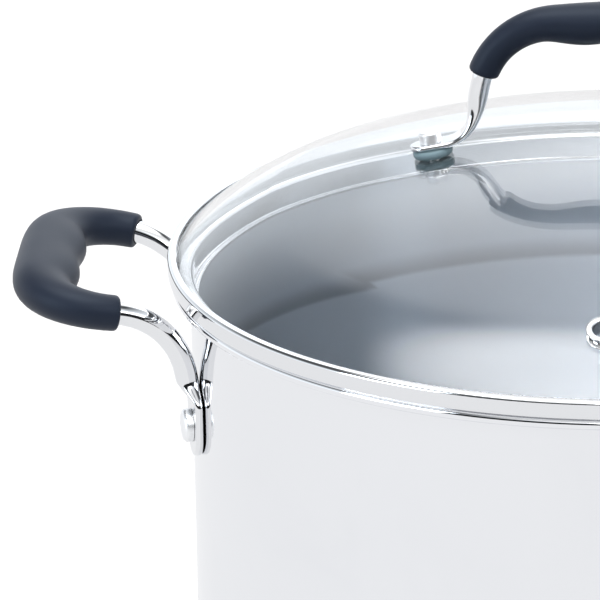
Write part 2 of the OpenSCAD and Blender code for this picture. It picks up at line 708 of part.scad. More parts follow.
module screw_washer(way) {
    color(steel) at_screw(way) difference() {
        disc(washer_d, screw_head_z, screw_head_z + washer_t);
        disc(screw_d + 2 * clamp_gap, screw_head_z - washer_t, screw_head_z + 2 * washer_t);
    }
}

module lid_screw(way) {
    edge_r = 1;
    slot_w = 1.2;
    low = screw_head_z - screw_head_h;
    color(steel) at_screw(way) difference() {
        union() {
            disc(screw_d, screw_head_z, screw_tip_z);
            rotate_extrude() polygon(concat(
                [[0, screw_head_z], [0, low]],
                arc([screw_head_d / 2 - edge_r, low + edge_r], edge_r, -90, 0),
                [[screw_head_d / 2, screw_head_z]]));
        }
        for (turn = [0, 90])
            rotate([0, 0, turn]) translate([-screw_head_d / 4, -slot_w / 2, low - slot_w])
                cube([screw_head_d / 2, slot_w, 2 * slot_w]);
    }
}

// Jar rack

module wire_ring(r, d) {
    rotate_extrude() translate([r, 0]) circle(d = d);
}
// Straight wire between two points
module wire(a, b, d) {
    v = b - a;
    translate(a) rotate([0, acos(v.z / norm(v)), atan2(v.y, v.x)]) cylinder(d = d, h = norm(v));
}
// Bent wire: part of a ring in the XZ plane, from one angle to another
module wire_bend(r, d, from, to) {
    rotate([90, 0, 0]) rotate([0, 0, from]) rotate_extrude(angle = to - from)
        translate([r, 0]) circle(d = d);
}

module rack_frame() {
    color(steel) {
        for (i = [0 : rack_rings - 1])
            translate([0, 0, rack_z]) wire_ring(rack_r - i * rack_pitch, rack_wire_d);
        for (i = [0 : rack_spokes - 1])
            rotate([0, 0, (i + 0.5) * 360 / rack_spokes])
                wire([spoke_from, 0, spoke_z], [rack_r + rack_wire_d / 2, 0, spoke_z], spoke_d);
        for (i = [0 : rack_feet - 1])
            rotate([0, 0, (i + 0.5) * 360 / rack_feet]) translate([rack_r, 0, foot_loop_z]) {
            rotate([0, 0, 90]) wire_bend(foot_loop_r, spoke_d, 180, 360);
            for (y = [-foot_loop_r, foot_loop_r])
                wire([0, y, 0], [0, y, rack_z - foot_loop_z - weld_sink], spoke_d);
        }
        for (x = [-bail_at, bail_at])
            wire([x, -bar_half, bar_z], [x, bar_half, bar_z], bail_d);
    }
}

// Bail on the right: stands leaning against the wall and turns on the bar through its eyes
module rack_bail(way) {
    half = bail_w / 2;
    bend_z = bail_len - bail_bend_r;
    color(steel) to_side(way) translate([bail_at, 0, bar_z]) rotate([0, bail_lean, 0]) {
        for (y = [-half, half]) {
            translate([0, y, 0]) rotate([90, 0, 0]) wire_ring(eye_r, bail_d);
            wire([0, y, eye_r], [0, y, bend_z], bail_d);
        }
        wire([0, bail_bend_r - half, bail_len], [0, half - bail_bend_r, bail_len], bail_d);
        for (turn = [-90, 90])
            rotate([0, 0, turn]) translate([half - bail_bend_r, 0, bend_z])
                wire_bend(bail_bend_r, bail_d, 0, 90);
    }
}

pot_shell();
base_core();
base_cap();
handle(-1);  // left_handle
handle(1);  // right_handle
grip(-1);  // left_grip
grip(1);  // right_grip
rivet(180 + leg_turn);  // left_front_rivet
rivet(180 - leg_turn);  // left_rear_rivet
rivet(-leg_turn);  // right_front_rivet
rivet(leg_turn);  // right_rear_rivet
lid_glass();
lid_ring();
lid_handle();
lid_grip();
vent_grommet();
upper_seal(-1);  // left_upper_seal
upper_seal(1);  // right_upper_seal
cap_nut(-1);  // left_cap_nut
cap_nut(1);  // right_cap_nut
lower_seal(-1);  // left_lower_seal
lower_seal(1);  // right_lower_seal
screw_washer(-1);  // left_screw_washer
screw_washer(1);  // right_screw_washer
lid_screw(-1);  // left_lid_screw
lid_screw(1);  // right_lid_screw
rack_frame();
rack_bail(-1);  // left_rack_bail
rack_bail(1);  // right_rack_bail
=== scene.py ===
import bisect
import math

import bmesh
import bpy
from mathutils import Matrix, Vector


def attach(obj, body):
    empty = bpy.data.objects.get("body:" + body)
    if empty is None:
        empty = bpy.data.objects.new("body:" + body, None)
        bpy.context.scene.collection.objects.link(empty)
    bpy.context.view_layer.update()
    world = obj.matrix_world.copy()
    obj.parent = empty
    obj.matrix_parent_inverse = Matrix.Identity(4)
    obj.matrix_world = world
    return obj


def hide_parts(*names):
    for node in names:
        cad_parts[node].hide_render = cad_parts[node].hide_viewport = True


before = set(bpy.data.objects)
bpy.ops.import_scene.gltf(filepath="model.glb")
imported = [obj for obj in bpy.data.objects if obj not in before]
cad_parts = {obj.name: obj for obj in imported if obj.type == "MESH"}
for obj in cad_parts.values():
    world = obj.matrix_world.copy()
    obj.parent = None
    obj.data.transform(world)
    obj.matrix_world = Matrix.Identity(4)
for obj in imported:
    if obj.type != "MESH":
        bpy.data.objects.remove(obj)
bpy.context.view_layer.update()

mm = 0.001
# Edges that turn by more than this stay hard
smoothAngle = math.radians(38)
# Points nearer than this are one point, in metres
spinWeld = 1e-6
ringWeld = 1e-7
fewestBendSteps = 4


# Modelling helpers

def startPiece():
    if bpy.context.mode != "OBJECT":
        bpy.ops.object.mode_set(mode="OBJECT")
    bpy.ops.object.select_all(action="DESELECT")


def pickPiece(piece):
    startPiece()
    piece.select_set(True)
    bpy.context.view_layer.objects.active = piece


def applyModifier(piece, kind, **values):
    pickPiece(piece)
    bpy.ops.object.modifier_add(type=kind)
    modifier = piece.modifiers[-1]
    for key, value in values.items():
        setattr(modifier, key, value)
    bpy.ops.object.modifier_apply(modifier=modifier.name)


def applyPlace(piece, place):
    pickPiece(piece)
    piece.matrix_world = place
    bpy.ops.object.transform_apply(location=True, rotation=True, scale=True)


def copyPiece(piece, name, place):
    pickPiece(piece)
    bpy.ops.object.duplicate()
    copied = bpy.context.object
    copied.name = copied.data.name = name
    applyPlace(copied, place)
    return copied


def settle(piece, node, body, slotName, *finishes):
    pickPiece(piece)
    bpy.ops.object.shade_smooth_by_angle(angle=smoothAngle)
    piece.data.materials.clear()
    for finish in finishes:
        piece.data.materials.append(finish)
    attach(piece, body)
    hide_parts(node)


def arcPoints(mid, radius, start, end, count):
    turns = [math.radians(start + (end - start) * i / count) for i in range(count + 1)]
    return [(mid[0] + radius * math.cos(t), mid[1] + radius * math.sin(t)) for t in turns]


# Points of one rounded corner of an outline, without the straight runs beside it
def cornerPoints(before, corner, after, radius, count):
    corners = [((x, 0, z), r) for (x, z), r in ((before, 0), (corner, radius), (after, 0))]
    return [(p.x, p.z) for p in roundedPath(corners, math.inf, count)[1:-1]]


# A plane is merged to one point, which is extruded along the outline, in millimetres across and up
def drawOutline(name, points):
    startPiece()
    x, z = points[0]
    bpy.ops.mesh.primitive_plane_add(size=mm, location=(x * mm, 0, z * mm))
    piece = bpy.context.object
    piece.name = piece.data.name = name
    bpy.ops.object.mode_set(mode="EDIT")
    bpy.ops.mesh.merge(type="CENTER")
    for a, b in zip(points, points[1:]):
        step = ((b[0] - a[0]) * mm, 0, (b[1] - a[1]) * mm)
        bpy.ops.mesh.extrude_vertices_move(TRANSFORM_OT_translate={"value": step})
    return piece


def spinOutline(name, points, steps, thickness=0):
    piece = drawOutline(name, points)
    bpy.ops.mesh.select_all(action="SELECT")
    bpy.ops.mesh.spin(steps=steps, angle=2 * math.pi, center=(0, 0, 0), axis=(0, 0, 1))
    bpy.ops.mesh.select_all(action="SELECT")
    bpy.ops.mesh.remove_doubles(threshold=spinWeld)
    bpy.ops.mesh.normals_make_consistent(inside=False)
    bpy.ops.object.mode_set(mode="OBJECT")
    bpy.ops.object.transform_apply(location=True, rotation=True, scale=True)
    if thickness:
        applyModifier(piece, "SOLIDIFY", thickness=thickness * mm, offset=0, use_even_offset=True)
    return piece


# Points of a line through the corners, each corner rounded by its own radius
def roundedPath(corners, step, arcCount=0):
    points = [Vector(place) for place, radius in corners]
    path = [points[0]]

    def runTo(end):
        start = path[-1]
        count = max(1, math.ceil((end - start).length / step))
        path.extend(start.lerp(end, i / count) for i in range(1, count + 1))

    for i in range(1, len(points) - 1):
        radius = corners[i][1]
        u = (points[i - 1] - points[i]).normalized()
        v = (points[i + 1] - points[i]).normalized()
        half = u.angle(v) / 2
        mid = points[i] + (u + v).normalized() * radius / math.sin(half)
        first = points[i] + u * radius / math.tan(half)
        runTo(first)
        turn = math.pi - 2 * half
        count = arcCount or max(fewestBendSteps, math.ceil(turn * radius / step))
        axis = (first - mid).cross(-u)
        for k in range(1, count + 1):
            path.append(mid + Matrix.Rotation(turn * k / count, 3, axis) @ (first - mid))
    runTo(points[-1])
    return path


# The middle line of a bent rod, in millimetres. A run is a distance along it from its first end.
class RodLine:
    step = 0.5
    wayReach = 0.6

    def __init__(self, corners):
        self.path = roundedPath(corners, self.step)
        self.runs = [0]
        for a, b in zip(self.path, self.path[1:]):
            self.runs.append(self.runs[-1] + (b - a).length)
        self.length = self.runs[-1]

    def place(self, run):
        run = min(max(run, 0), self.length)
        high = min(bisect.bisect_right(self.runs, run), len(self.runs) - 1)
        low = high - 1
        share = (run - self.runs[low]) / (self.runs[high] - self.runs[low])
        return self.path[low].lerp(self.path[high], share)

    def way(self, run):
        return (self.place(run + self.wayReach) - self.place(run - self.wayReach)).normalized()


def evenRuns(start, end, spacing):
    count = math.ceil((end - start) / spacing)
    return [start + (end - start) * i / count for i in range(count)]


def ease(value, start, end):
    t = min(1, max(0, (value - start) / (end - start)))
    return t * t * (3 - 2 * t)


def bump(value, middle, width):
    return (1 + math.cos(math.pi * min(1, abs(value - middle) / width))) / 2


# How far a point may lie from its ring: across it, as a share of the ring's half sizes, and along the
# rod, in metres. A pressed section is boxy, so its corners lie further out than an oval's edge.
ringPick = {"oval": (0.985, 1.015), "pressed": (0.95, 1.45), "reach": 1.5, "along": 2e-6}
pressedSection = {"sides": 28, "cornerShare": 0.975}


# Selects the edges of rings: a ring is (place, side, up, half width, half height), in millimetres
def pickRings(piece, rings, oval):
    inner, outer = ringPick["oval" if oval else "pressed"]
    mesh = bmesh.from_edit_mesh(piece.data)
    marks = [(p * mm, side, up, side.cross(up), wide * mm, high * mm) for p, side, up, wide, high in rings]

    def onRing(spot, mark):
        p, side, up, way, wide, high = mark
        off = spot - p
        if off.length > ringPick["reach"] * max(wide, high) or abs(off.dot(way)) > ringPick["along"]:
            return False
        return inner < math.hypot(off.dot(side) / wide, off.dot(up) / high) < outer

    for vert in mesh.verts:
        vert.select = any(onRing(vert.co, mark) for mark in marks)
    mesh.select_mode = {"VERT"}
    mesh.select_flush_mode()
    mesh.select_flush(True)
    bmesh.update_edit_mesh(piece.data)


# Lays a section at each ring and bridges it to the one before. Pressed rods are rounded rectangles,
# whose four corners are bevelled, and grips are ovals.
def bridgeRings(name, rings, sides=pressedSection["sides"], oval=False, closed=False):
    startPiece()
    bpy.ops.mesh.primitive_plane_add(size=mm)
    piece = bpy.context.object
    piece.name = piece.data.name = name
    bpy.ops.object.mode_set(mode="EDIT")
    bpy.ops.mesh.delete(type="VERT")
    for i, (place, side, up, wide, high) in enumerate(rings):
        bpy.ops.mesh.select_all(action="DESELECT")
        if oval:
            bpy.ops.mesh.primitive_circle_add(vertices=sides, radius=mm, fill_type="NOTHING")
            bpy.ops.transform.resize(value=(wide, high, 1), center_override=(0, 0, 0))
        else:
            bpy.ops.mesh.primitive_plane_add(size=2 * mm)
            bpy.ops.transform.resize(value=(wide, high, 1), center_override=(0, 0, 0))
            offset = pressedSection["cornerShare"] * min(wide, high) * mm
            bpy.ops.mesh.bevel(offset=offset, segments=sides // 4 - 1, profile=0.5, affect="VERTICES")
        turn = Matrix((side, up, side.cross(up))).transposed().to_euler()
        for axis, angle in zip("XYZ", turn):
            bpy.ops.transform.rotate(value=-angle, orient_axis=axis, center_override=(0, 0, 0))
        bpy.ops.transform.translate(value=place * mm)
        if not oval:
            bpy.ops.mesh.delete(type="ONLY_FACE")
        if i:
            pickRings(piece, rings[i - 1:i + 1], oval)
            bpy.ops.mesh.bridge_edge_loops()
    if closed:
        pickRings(piece, [rings[-1], rings[0]], oval)
        bpy.ops.mesh.bridge_edge_loops()
    else:
        for ring in (rings[0], rings[-1]):
            pickRings(piece, [ring], oval)
            bpy.ops.mesh.edge_face_add()
    bpy.ops.mesh.select_all(action="SELECT")
    bpy.ops.mesh.remove_doubles(threshold=ringWeld)
    bpy.ops.mesh.normals_make_consistent(inside=False)
    bpy.ops.object.mode_set(mode="OBJECT")
    bpy.ops.object.transform_apply(location=True, rotation=True, scale=True)
    applyModifier(piece, "SUBSURF", levels=1, render_levels=1)
    return piece


# Shared effects

def newGroup(name, inputs, outputs):
    group = bpy.data.node_groups.new(name, "ShaderNodeTree")
    for label, value in inputs:
        socket = group.interface.new_socket(label, in_out="INPUT", socket_type="NodeSocketFloat")
        socket.default_value = value
    for label in outputs:
        group.interface.new_socket(label, in_out="OUTPUT", socket_type="NodeSocketFloat")
    source = group.nodes.new("NodeGroupInput")
    sink = group.nodes.new("NodeGroupOutput")
    return group, source, sink


def addNode(tree, kind, values=None, **settings):
    node = tree.nodes.new(kind)
    for key, value in settings.items():
        setattr(node, key, value)
    for key, value in (values or {}).items():
        node.inputs[key].default_value = value
    return node


# Each join is (node, output, next node, input)
def joinNodes(tree, *joins):
    for node, output, nextNode, socket in joins:
        tree.links.new(node.outputs[output], nextNode.inputs[socket])


# Fine lines left by a tool on a spinning part: rings on a floor, hoops on a wall
def makeSpunLines():
    group, source, sink = newGroup("spunLines", [("Fineness", 900), ("Drift", 6)], ["Lines"])
    coords = addNode(group, "ShaderNodeTexCoord")
    axes = addNode(group, "ShaderNodeSeparateXYZ")
    flat = addNode(group, "ShaderNodeCombineXYZ")
    radius = addNode(group, "ShaderNodeVectorMath", operation="LENGTH")
    along = addNode(group, "ShaderNodeMath", operation="ADD")
    fine = addNode(group, "ShaderNodeMath", operation="MULTIPLY")
    driftX = addNode(group, "ShaderNodeMath", operation="MULTIPLY")
    driftY = addNode(group, "ShaderNodeMath", operation="MULTIPLY")
    place = addNode(group, "ShaderNodeCombineXYZ")
    noise = addNode(group, "ShaderNodeTexNoise", {"Scale": 1, "Detail": 3, "Roughness": 0.65})
    joinNodes(
        group,
        (coords, "Object", axes, 0),
        (axes, "X", flat, "X"),
        (axes, "Y", flat, "Y"),
        (flat, 0, radius, 0),
        (radius, "Value", along, 0),
        (axes, "Z", along, 1),
        (along, 0, fine, 0),
        (source, "Fineness", fine, 1),
        (axes, "X", driftX, 0),
        (source, "Drift", driftX, 1),
        (axes, "Y", driftY, 0),
        (source, "Drift", driftY, 1),
        (driftX, 0, place, "X"),
        (driftY, 0, place, "Y"),
        (fine, 0, place, "Z"),
        (place, 0, noise, "Vector"),
        (noise, "Fac", sink, "Lines"),
    )
    return group


# Broad, faint patches where a surface was wiped or touched
def makeHandMarks():
    group, source, sink = newGroup("handMarks", [("Size", 14), ("Cover", 0.5)], ["Mask"])
    coords = addNode(group, "ShaderNodeTexCoord")
    noise = addNode(group, "ShaderNodeTexNoise", {"Detail": 4, "Roughness": 0.6, "Distortion": 0.6})
    flip = addNode(group, "ShaderNodeMath", {0: 1.0}, operation="SUBTRACT")
    spread = addNode(group, "ShaderNodeMapRange", {"From Max": 1.0}, interpolation_type="SMOOTHSTEP")
    joinNodes(
        group,
        (coords, "Object", noise, "Vector"),
        (source, "Size", noise, "Scale"),
        (source, "Cover", flip, 1),
        (noise, "Fac", spread, "Value"),
        (flip, 0, spread, "From Min"),
        (spread, "Result", sink, "Mask"),
    )
    return group


# Tiny pits and tooth of a moulded, matt surface
def makeMouldTooth():
    group, source, sink = newGroup("mouldTooth", [("Size", 2600)], ["Height", "Tone"])
    coords = addNode(group, "ShaderNodeTexCoord")
    tooth = addNode(group, "ShaderNodeTexNoise", {"Detail": 2, "Roughness": 0.5})
    coarse = addNode(group, "ShaderNodeTexNoise", {"Scale": 90, "Detail": 3, "Roughness": 0.6})
    joinNodes(
        group,
        (coords, "Object", tooth, "Vector"),
        (source, "Size", tooth, "Scale"),
        (coords, "Object", coarse, "Vector"),
        (tooth, "Fac", sink, "Height"),
        (coarse, "Fac", sink, "Tone"),
    )
    return group


# Light rub along raised edges
def makeEdgeRub():
    group, source, sink = newGroup("edgeRub", [("Start", 0.52), ("End", 0.6)], ["Mask"])
    shape = addNode(group, "ShaderNodeNewGeometry")
    spread = addNode(group, "ShaderNodeMapRange", interpolation_type="SMOOTHSTEP")
    joinNodes(
        group,
        (shape, "Pointiness", spread, "Value"),
        (source, "Start", spread, "From Min"),
        (source, "End", spread, "From Max"),
        (spread, "Result", sink, "Mask"),
    )
    return group


# Painted shade round the inside of the pot that darkens down to a line, soft above and sharper below, with
# paler painted light under the line; sizes in metres
def makePaintedShadeBand():
    sizes = [("Height", 0.239), ("Above", 0.008), ("Below", 0.002)]
    group, source, sink = newGroup("paintedShadeBand", sizes, ["Line", "PaintedLight"])
    coords = addNode(group, "ShaderNodeTexCoord")
    axes = addNode(group, "ShaderNodeSeparateXYZ")
    top = addNode(group, "ShaderNodeMath", operation="ADD")
    bottom = addNode(group, "ShaderNodeMath", operation="SUBTRACT")
    above = addNode(group, "ShaderNodeMapRange", interpolation_type="SMOOTHSTEP")
    under = addNode(group, "ShaderNodeMapRange", interpolation_type="SMOOTHSTEP")
    line = addNode(group, "ShaderNodeMath", operation="SUBTRACT")
    joinNodes(
        group,
        (coords, "Object", axes, 0),
        (source, "Height", top, 0),
        (source, "Above", top, 1),
        (source, "Height", bottom, 0),
        (source, "Below", bottom, 1),
        (axes, "Z", above, "Value"),
        (top, 0, above, "From Min"),
        (source, "Height", above, "From Max"),
        (axes, "Z", under, "Value"),
        (source, "Height", under, "From Min"),
        (bottom, 0, under, "From Max"),
        (above, "Result", line, 0),
        (under, "Result", line, 1),
        (line, 0, sink, "Line"),
        (under, "Result", sink, "PaintedLight"),
    )
    return group


effects = {
    "spunLines": makeSpunLines(),
    "paintedShadeBand": makePaintedShadeBand(),
    "handMarks": makeHandMarks(),
    "mouldTooth": makeMouldTooth(),
    "edgeRub": makeEdgeRub(),
}


def newFinish(name):
    finish = bpy.data.materials.new(name)
    finish.use_nodes = True
    return finish, finish.node_tree, finish.node_tree.nodes["Principled BSDF"]


def useEffect(tree, effect, **values):
    node = tree.nodes.new("ShaderNodeGroup")
    node.node_tree = effects[effect]
    for key, value in values.items():
        node.inputs[key].default_value = value
    return node


# The colour sockets of a Mix node
mixFirst, mixSecond, mixResult = 6, 7, 2


def mixColours(tree, mask, first, second):
    mix = addNode(tree, "ShaderNodeMix", {mixFirst: (*first, 1), mixSecond: (*second, 1)}, data_type="RGBA")
    tree.links.new(mask, mix.inputs[0])
    return mix.outputs[mixResult]


def spreadValue(tree, value, low, high):
    spread = addNode(tree, "ShaderNodeMapRange", {"To Min": low, "To Max": high})
    tree.links.new(value, spread.inputs["Value"])
    return spread.outputs["Result"]


def addValues(tree, first, second):
    total = addNode(tree, "ShaderNodeMath", operation="ADD")
    tree.links.new(first, total.inputs[0])
    tree.links.new(second, total.inputs[1])
    return total.outputs[0]


def bumpFrom(tree, height, strength, depth):
    relief = addNode(tree, "ShaderNodeBump", {"Strength": strength, "Distance": depth})
    tree.links.new(height, relief.inputs["Height"])
    return relief.outputs["Normal"]


steelSurface = {"markSize": 16, "markCover": 0.55, "lineDepth": 0.05, "brushTurn": 0.25}
siliconeSurface = {
    "rubStart": 0.515, "rubEnd": 0.6, "rubShare": 0.5, "dustShare": 0.35, "relief": 0.25, "toothDepth": 0.06,
    "shine": 0.24, "shineTone": (0.74, 0.87, 1), "sheen": 0.05, "sheenRough": 0.5,
}
glassSurface = {"markSize": 22, "markCover": 0.4, "bending": 1.5}


# Steel in one of its finishes: tone, tone under hand marks, roughness range, lines and their relief, and an
# optional painted shade band with painted light under it
def makeSteel(name, tone, markTone, rough, markRough, fineness, drift, relief, brushed=0, paintedBand=None):
    s = steelSurface
    finish, tree, shader = newFinish(name)
    link = tree.links.new
    if brushed:
        hoop = addNode(tree, "ShaderNodeTangent", direction_type="RADIAL", axis="Z")
        link(hoop.outputs[0], shader.inputs["Tangent"])
        shader.inputs["Anisotropic"].default_value = brushed
        shader.inputs["Anisotropic Rotation"].default_value = s["brushTurn"]
    lines = useEffect(tree, "spunLines", Fineness=fineness, Drift=drift)
    marks = useEffect(tree, "handMarks", Size=s["markSize"], Cover=s["markCover"])
    base = spreadValue(tree, lines.outputs["Lines"], rough[0], rough[1])
    extra = spreadValue(tree, marks.outputs["Mask"], 0, markRough)
    shader.inputs["Metallic"].default_value = 1
    colour = mixColours(tree, marks.outputs["Mask"], tone, markTone)
    # Painted shade down to a line on the wall, and paler painted light under it
    if paintedBand:
        mark = useEffect(tree, "paintedShadeBand")
        for part, partTone in paintedBand.items():
            mix = addNode(tree, "ShaderNodeMix", {mixSecond: (*partTone, 1)}, data_type="RGBA")
            link(mark.outputs[part], mix.inputs[0])
            link(colour, mix.inputs[mixFirst])
            colour = mix.outputs[mixResult]
    link(colour, shader.inputs["Base Color"])
    link(addValues(tree, base, extra), shader.inputs["Roughness"])
    link(bumpFrom(tree, lines.outputs["Lines"], relief, s["lineDepth"] * mm), shader.inputs["Normal"])
    return finish


def makeSilicone(name, tone, rubTone, rough):
    s = siliconeSurface
    finish, tree, shader = newFinish(name)
    link = tree.links.new
    tooth = useEffect(tree, "mouldTooth")
    rub = useEffect(tree, "edgeRub", Start=s["rubStart"], End=s["rubEnd"])
    rubbed = spreadValue(tree, rub.outputs["Mask"], 0, s["rubShare"])
    dusty = spreadValue(tree, tooth.outputs["Tone"], 0, s["dustShare"])
    link(mixColours(tree, addValues(tree, rubbed, dusty), tone, rubTone), shader.inputs["Base Color"])
    link(spreadValue(tree, tooth.outputs["Height"], rough[0], rough[1]), shader.inputs["Roughness"])
    link(bumpFrom(tree, tooth.outputs["Height"], s["relief"], s["toothDepth"] * mm), shader.inputs["Normal"])
    shader.inputs["Specular IOR Level"].default_value = s["shine"]
    shader.inputs["Specular Tint"].default_value = (*s["shineTone"], 1)
    shader.inputs["Sheen Weight"].default_value = s["sheen"]
    shader.inputs["Sheen Roughness"].default_value = s["sheenRough"]
    return finish


def makeGlass(name, tone, rough):
    s = glassSurface
    finish, tree, shader = newFinish(name)
    marks = useEffect(tree, "handMarks", Size=s["markSize"], Cover=s["markCover"])
    shader.inputs["Base Color"].default_value = (*tone, 1)
    shader.inputs["Transmission Weight"].default_value = 1
    shader.inputs["IOR"].default_value = s["bending"]
    cloud = spreadValue(tree, marks.outputs["Mask"], rough[0], rough[1])
    tree.links.new(cloud, shader.inputs["Roughness"])
    return finish


mirrorSteel = makeSteel(
    "mirrorSteel", tone=(0.86, 0.866, 0.885), markTone=(0.83, 0.838, 0.86),
    rough=(0.035, 0.06), markRough=0.02, fineness=700, drift=3, relief=0.015)
# The brushed inside has painted shade darkening down to a line round the wall and paler painted light under
# it
satinSteel = makeSteel(
    "satinSteel", tone=(0.74, 0.80, 0.87), markTone=(0.70, 0.76, 0.83),
    rough=(0.36, 0.44), markRough=0.03, fineness=1100, drift=5, relief=0.12, brushed=0.9,
    paintedBand={"PaintedLight": (0.8, 0.86, 0.93), "Line": (0.48, 0.52, 0.57)})
baseSteel = makeSteel(
    "baseSteel", tone=(0.7, 0.71, 0.73), markTone=(0.64, 0.65, 0.67),
    rough=(0.22, 0.36), markRough=0.06, fineness=800, drift=4, relief=0.3)
rodSteel = makeSteel(
    "rodSteel", tone=(0.82, 0.826, 0.838), markTone=(0.78, 0.787, 0.8),
    rough=(0.04, 0.075), markRough=0.03, fineness=500, drift=60, relief=0.012)
ringSteel = makeSteel(
    "ringSteel", tone=(0.81, 0.816, 0.83), markTone=(0.77, 0.777, 0.792),
    rough=(0.05, 0.09), markRough=0.03, fineness=900, drift=4, relief=0.02)
softSteel = makeSteel(
    "softSteel", tone=(0.92, 0.925, 0.935), markTone=(0.88, 0.886, 0.898),
    rough=(0.36, 0.44), markRough=0.03, fineness=900, drift=8, relief=0.02)
wireSteel = makeSteel(
    "wireSteel", tone=(0.74, 0.75, 0.77), markTone=(0.66, 0.67, 0.69),
    rough=(0.16, 0.3), markRough=0.08, fineness=300, drift=300, relief=0.06)
castAluminium = makeSteel(
    "castAluminium", tone=(0.72, 0.73, 0.74), markTone=(0.6, 0.61, 0.62),
    rough=(0.4, 0.55), markRough=0.1, fineness=400, drift=200, relief=0.2)
gripSilicone = makeSilicone(
    "gripSilicone", tone=(0.009, 0.0128, 0.025), rubTone=(0.016, 0.0225, 0.041), rough=(0.42, 0.54))
sealRubber = makeSilicone(
    "sealRubber", tone=(0.15, 0.22, 0.245), rubTone=(0.2, 0.27, 0.3), rough=(0.4, 0.55))
clearGlass = makeGlass("lidGlass", tone=(0.993, 0.997, 1), rough=(0.0, 0.02))
print("finishes:", len(bpy.data.materials))


# Pot, drawn along the middle of its sheet

potShell = {
    "wallRadius": 150.4, "floor": 5.6, "rimTop": 286, "wall": 0.8, "cornerRadius": 10.4,
    "flareRadius": 12, "flareTurn": 50, "curlRadius": 1.5, "curlEnd": 262, "steps": 256,
    "floorRows": (0, 20, 45, 70, 95, 118), "wallRows": (60, 110, 160, 200, 232, 248, 264),
    "insideFloor": 20, "facesUp": 0.2, "facesIn": 0.05, "plainRim": 0.4,
}


# Middles of the flare, which runs on from the wall, and of the curl, which runs on from the flare
def rimMiddles(s):
    turn = math.radians(180 - s["flareTurn"])
    reach = s["flareRadius"] - s["curlRadius"]
    curlHeight = s["rimTop"] - s["wall"] / 2 - s["curlRadius"]
    flareAcross = s["wallRadius"] + s["flareRadius"]
    flare = (flareAcross, curlHeight - reach * math.sin(turn))
    curl = (flareAcross + reach * math.cos(turn), curlHeight)
    return flare, curl


def makePotShell(s):
    flare, curl = rimMiddles(s)
    corner = s["cornerRadius"]
    flareEnd = 180 - s["flareTurn"]
    points = [(r, s["floor"]) for r in s["floorRows"]]
    points += arcPoints((s["wallRadius"] - corner, s["floor"] + corner), corner, -90, 0, 10)
    points += [(s["wallRadius"], z) for z in s["wallRows"]]
    points += arcPoints(flare, s["flareRadius"], 180, flareEnd, 10)
    points += arcPoints(curl, s["curlRadius"], flareEnd, 180 - s["curlEnd"], 22)[1:]
    piece = spinOutline("potShell", points, s["steps"], s["wall"])
    settle(piece, "pot_shell", "pot", "polished_steel", mirrorSteel, satinSteel)
    # The brushed inside is every face that looks up from the floor or towards the axis
    for face in piece.data.polygons:
        height = face.center.z / mm
        out = Vector((face.center.x, face.center.y, 0)).normalized()
        onFloor = height < s["insideFloor"] and face.normal.z > s["facesUp"]
        onWall = height < curl[1] - s["plainRim"] and face.normal.dot(out) < -s["facesIn"]
        face.material_index = 1 if onFloor or onWall else 0


baseCap = {
    "radius": 139.3, "edgeRadius": 3, "top": 5.1, "sheet": 0.6, "rows": (0, 30, 60, 90, 120), "steps": 192,
}


def makeBaseCap(s):
    half = s["sheet"] / 2
    points = [(r, half) for r in s["rows"]]
    points += arcPoints((s["radius"] - s["edgeRadius"], s["edgeRadius"]), s["edgeRadius"] - half, -90, 0, 8)
    points += [(s["radius"] - half, s["top"])]
    piece = spinOutline("baseCap", points, s["steps"], s["sheet"])
    settle(piece, "base_cap", "pot", "base_steel", baseSteel)


makePotShell(potShell)
makeBaseCap(baseCap)
print("pot shell and base done")


# Rounded ends of pressed rods and of grips, as shares of their radius

tabShares = (0.015, 0.08, 0.2, 0.4, 0.65, 0.9)
gripShares = (0, 0.1, 0.3, 0.6, 1)
gripSides = 24


def tabHalf(left, half):
    return math.sqrt(half ** 2 - (half - left) ** 2) if left < half else half


# Runs of a grip's sections from one end to the other, closest together where its ends are rounded. The
# halves meet with one step between them.
def gripRuns(s, line, start):
    rest = line.length / 2 - start - s["endRound"]
    count = math.ceil(rest / s["spacing"])
    runs = [share * s["endRound"] for share in gripShares]
    runs += [s["endRound"] + rest * i / (count + 0.5) for i in range(1, count + 1)]
    return [start + r for r in runs] + [line.length - start - r for r in reversed(runs)]


def gripEndHalf(s, gone):
    left = 1 - min(1, gone / s["endRound"])
    return s["endWidth"] / 2 - s["endRound"] * (1 - math.sqrt(1 - left ** 2))


# A section is (place, side, up, half width, half height, shift of the outside off the bore)
def bridgeGrip(name, sections, s):
    bore = s["bore"] / 2
    outer = [(place + shift, side, up, wide, high) for place, side, up, wide, high, shift in sections]
    inner = [(place, side, up, bore, bore) for place, side, up, wide, high, shift in reversed(sections)]
    return bridgeRings(name, outer + inner, sides=gripSides, oval=True, closed=True)


# Side handles, modelled on the right and copied to the left

sideHandle = {
    "legRadius": 154.9, "spread": 76, "bowX": 200.1, "tabLow": 228.5, "bendTop": 283,
    "bendRadius": 28.5, "bowRadius": 21, "bowSlope": 8.5, "legSteep": 0.2, "rod": 8,
    "tabWidth": 18, "tabThick": 2.8, "pressLow": 247.9, "pressLong": 9, "pressSpacing": 1.2, "spacing": 3,
}
sideGrip = {
    "start": 23.4, "endWidth": 12.6, "midWidth": 23.5, "midHeight": 17, "endRound": 1.5, "fullAt": 0.8,
    "wave": 1.3, "waveGap": 28, "bore": 8.7, "spacing": 3,
}
halfTurn = Matrix.Rotation(math.pi, 4, "Z")


# The angle between the pot's sideways axis and each leg
def legTurn(s):
    return math.asin(s["spread"] / 2 / s["legRadius"])


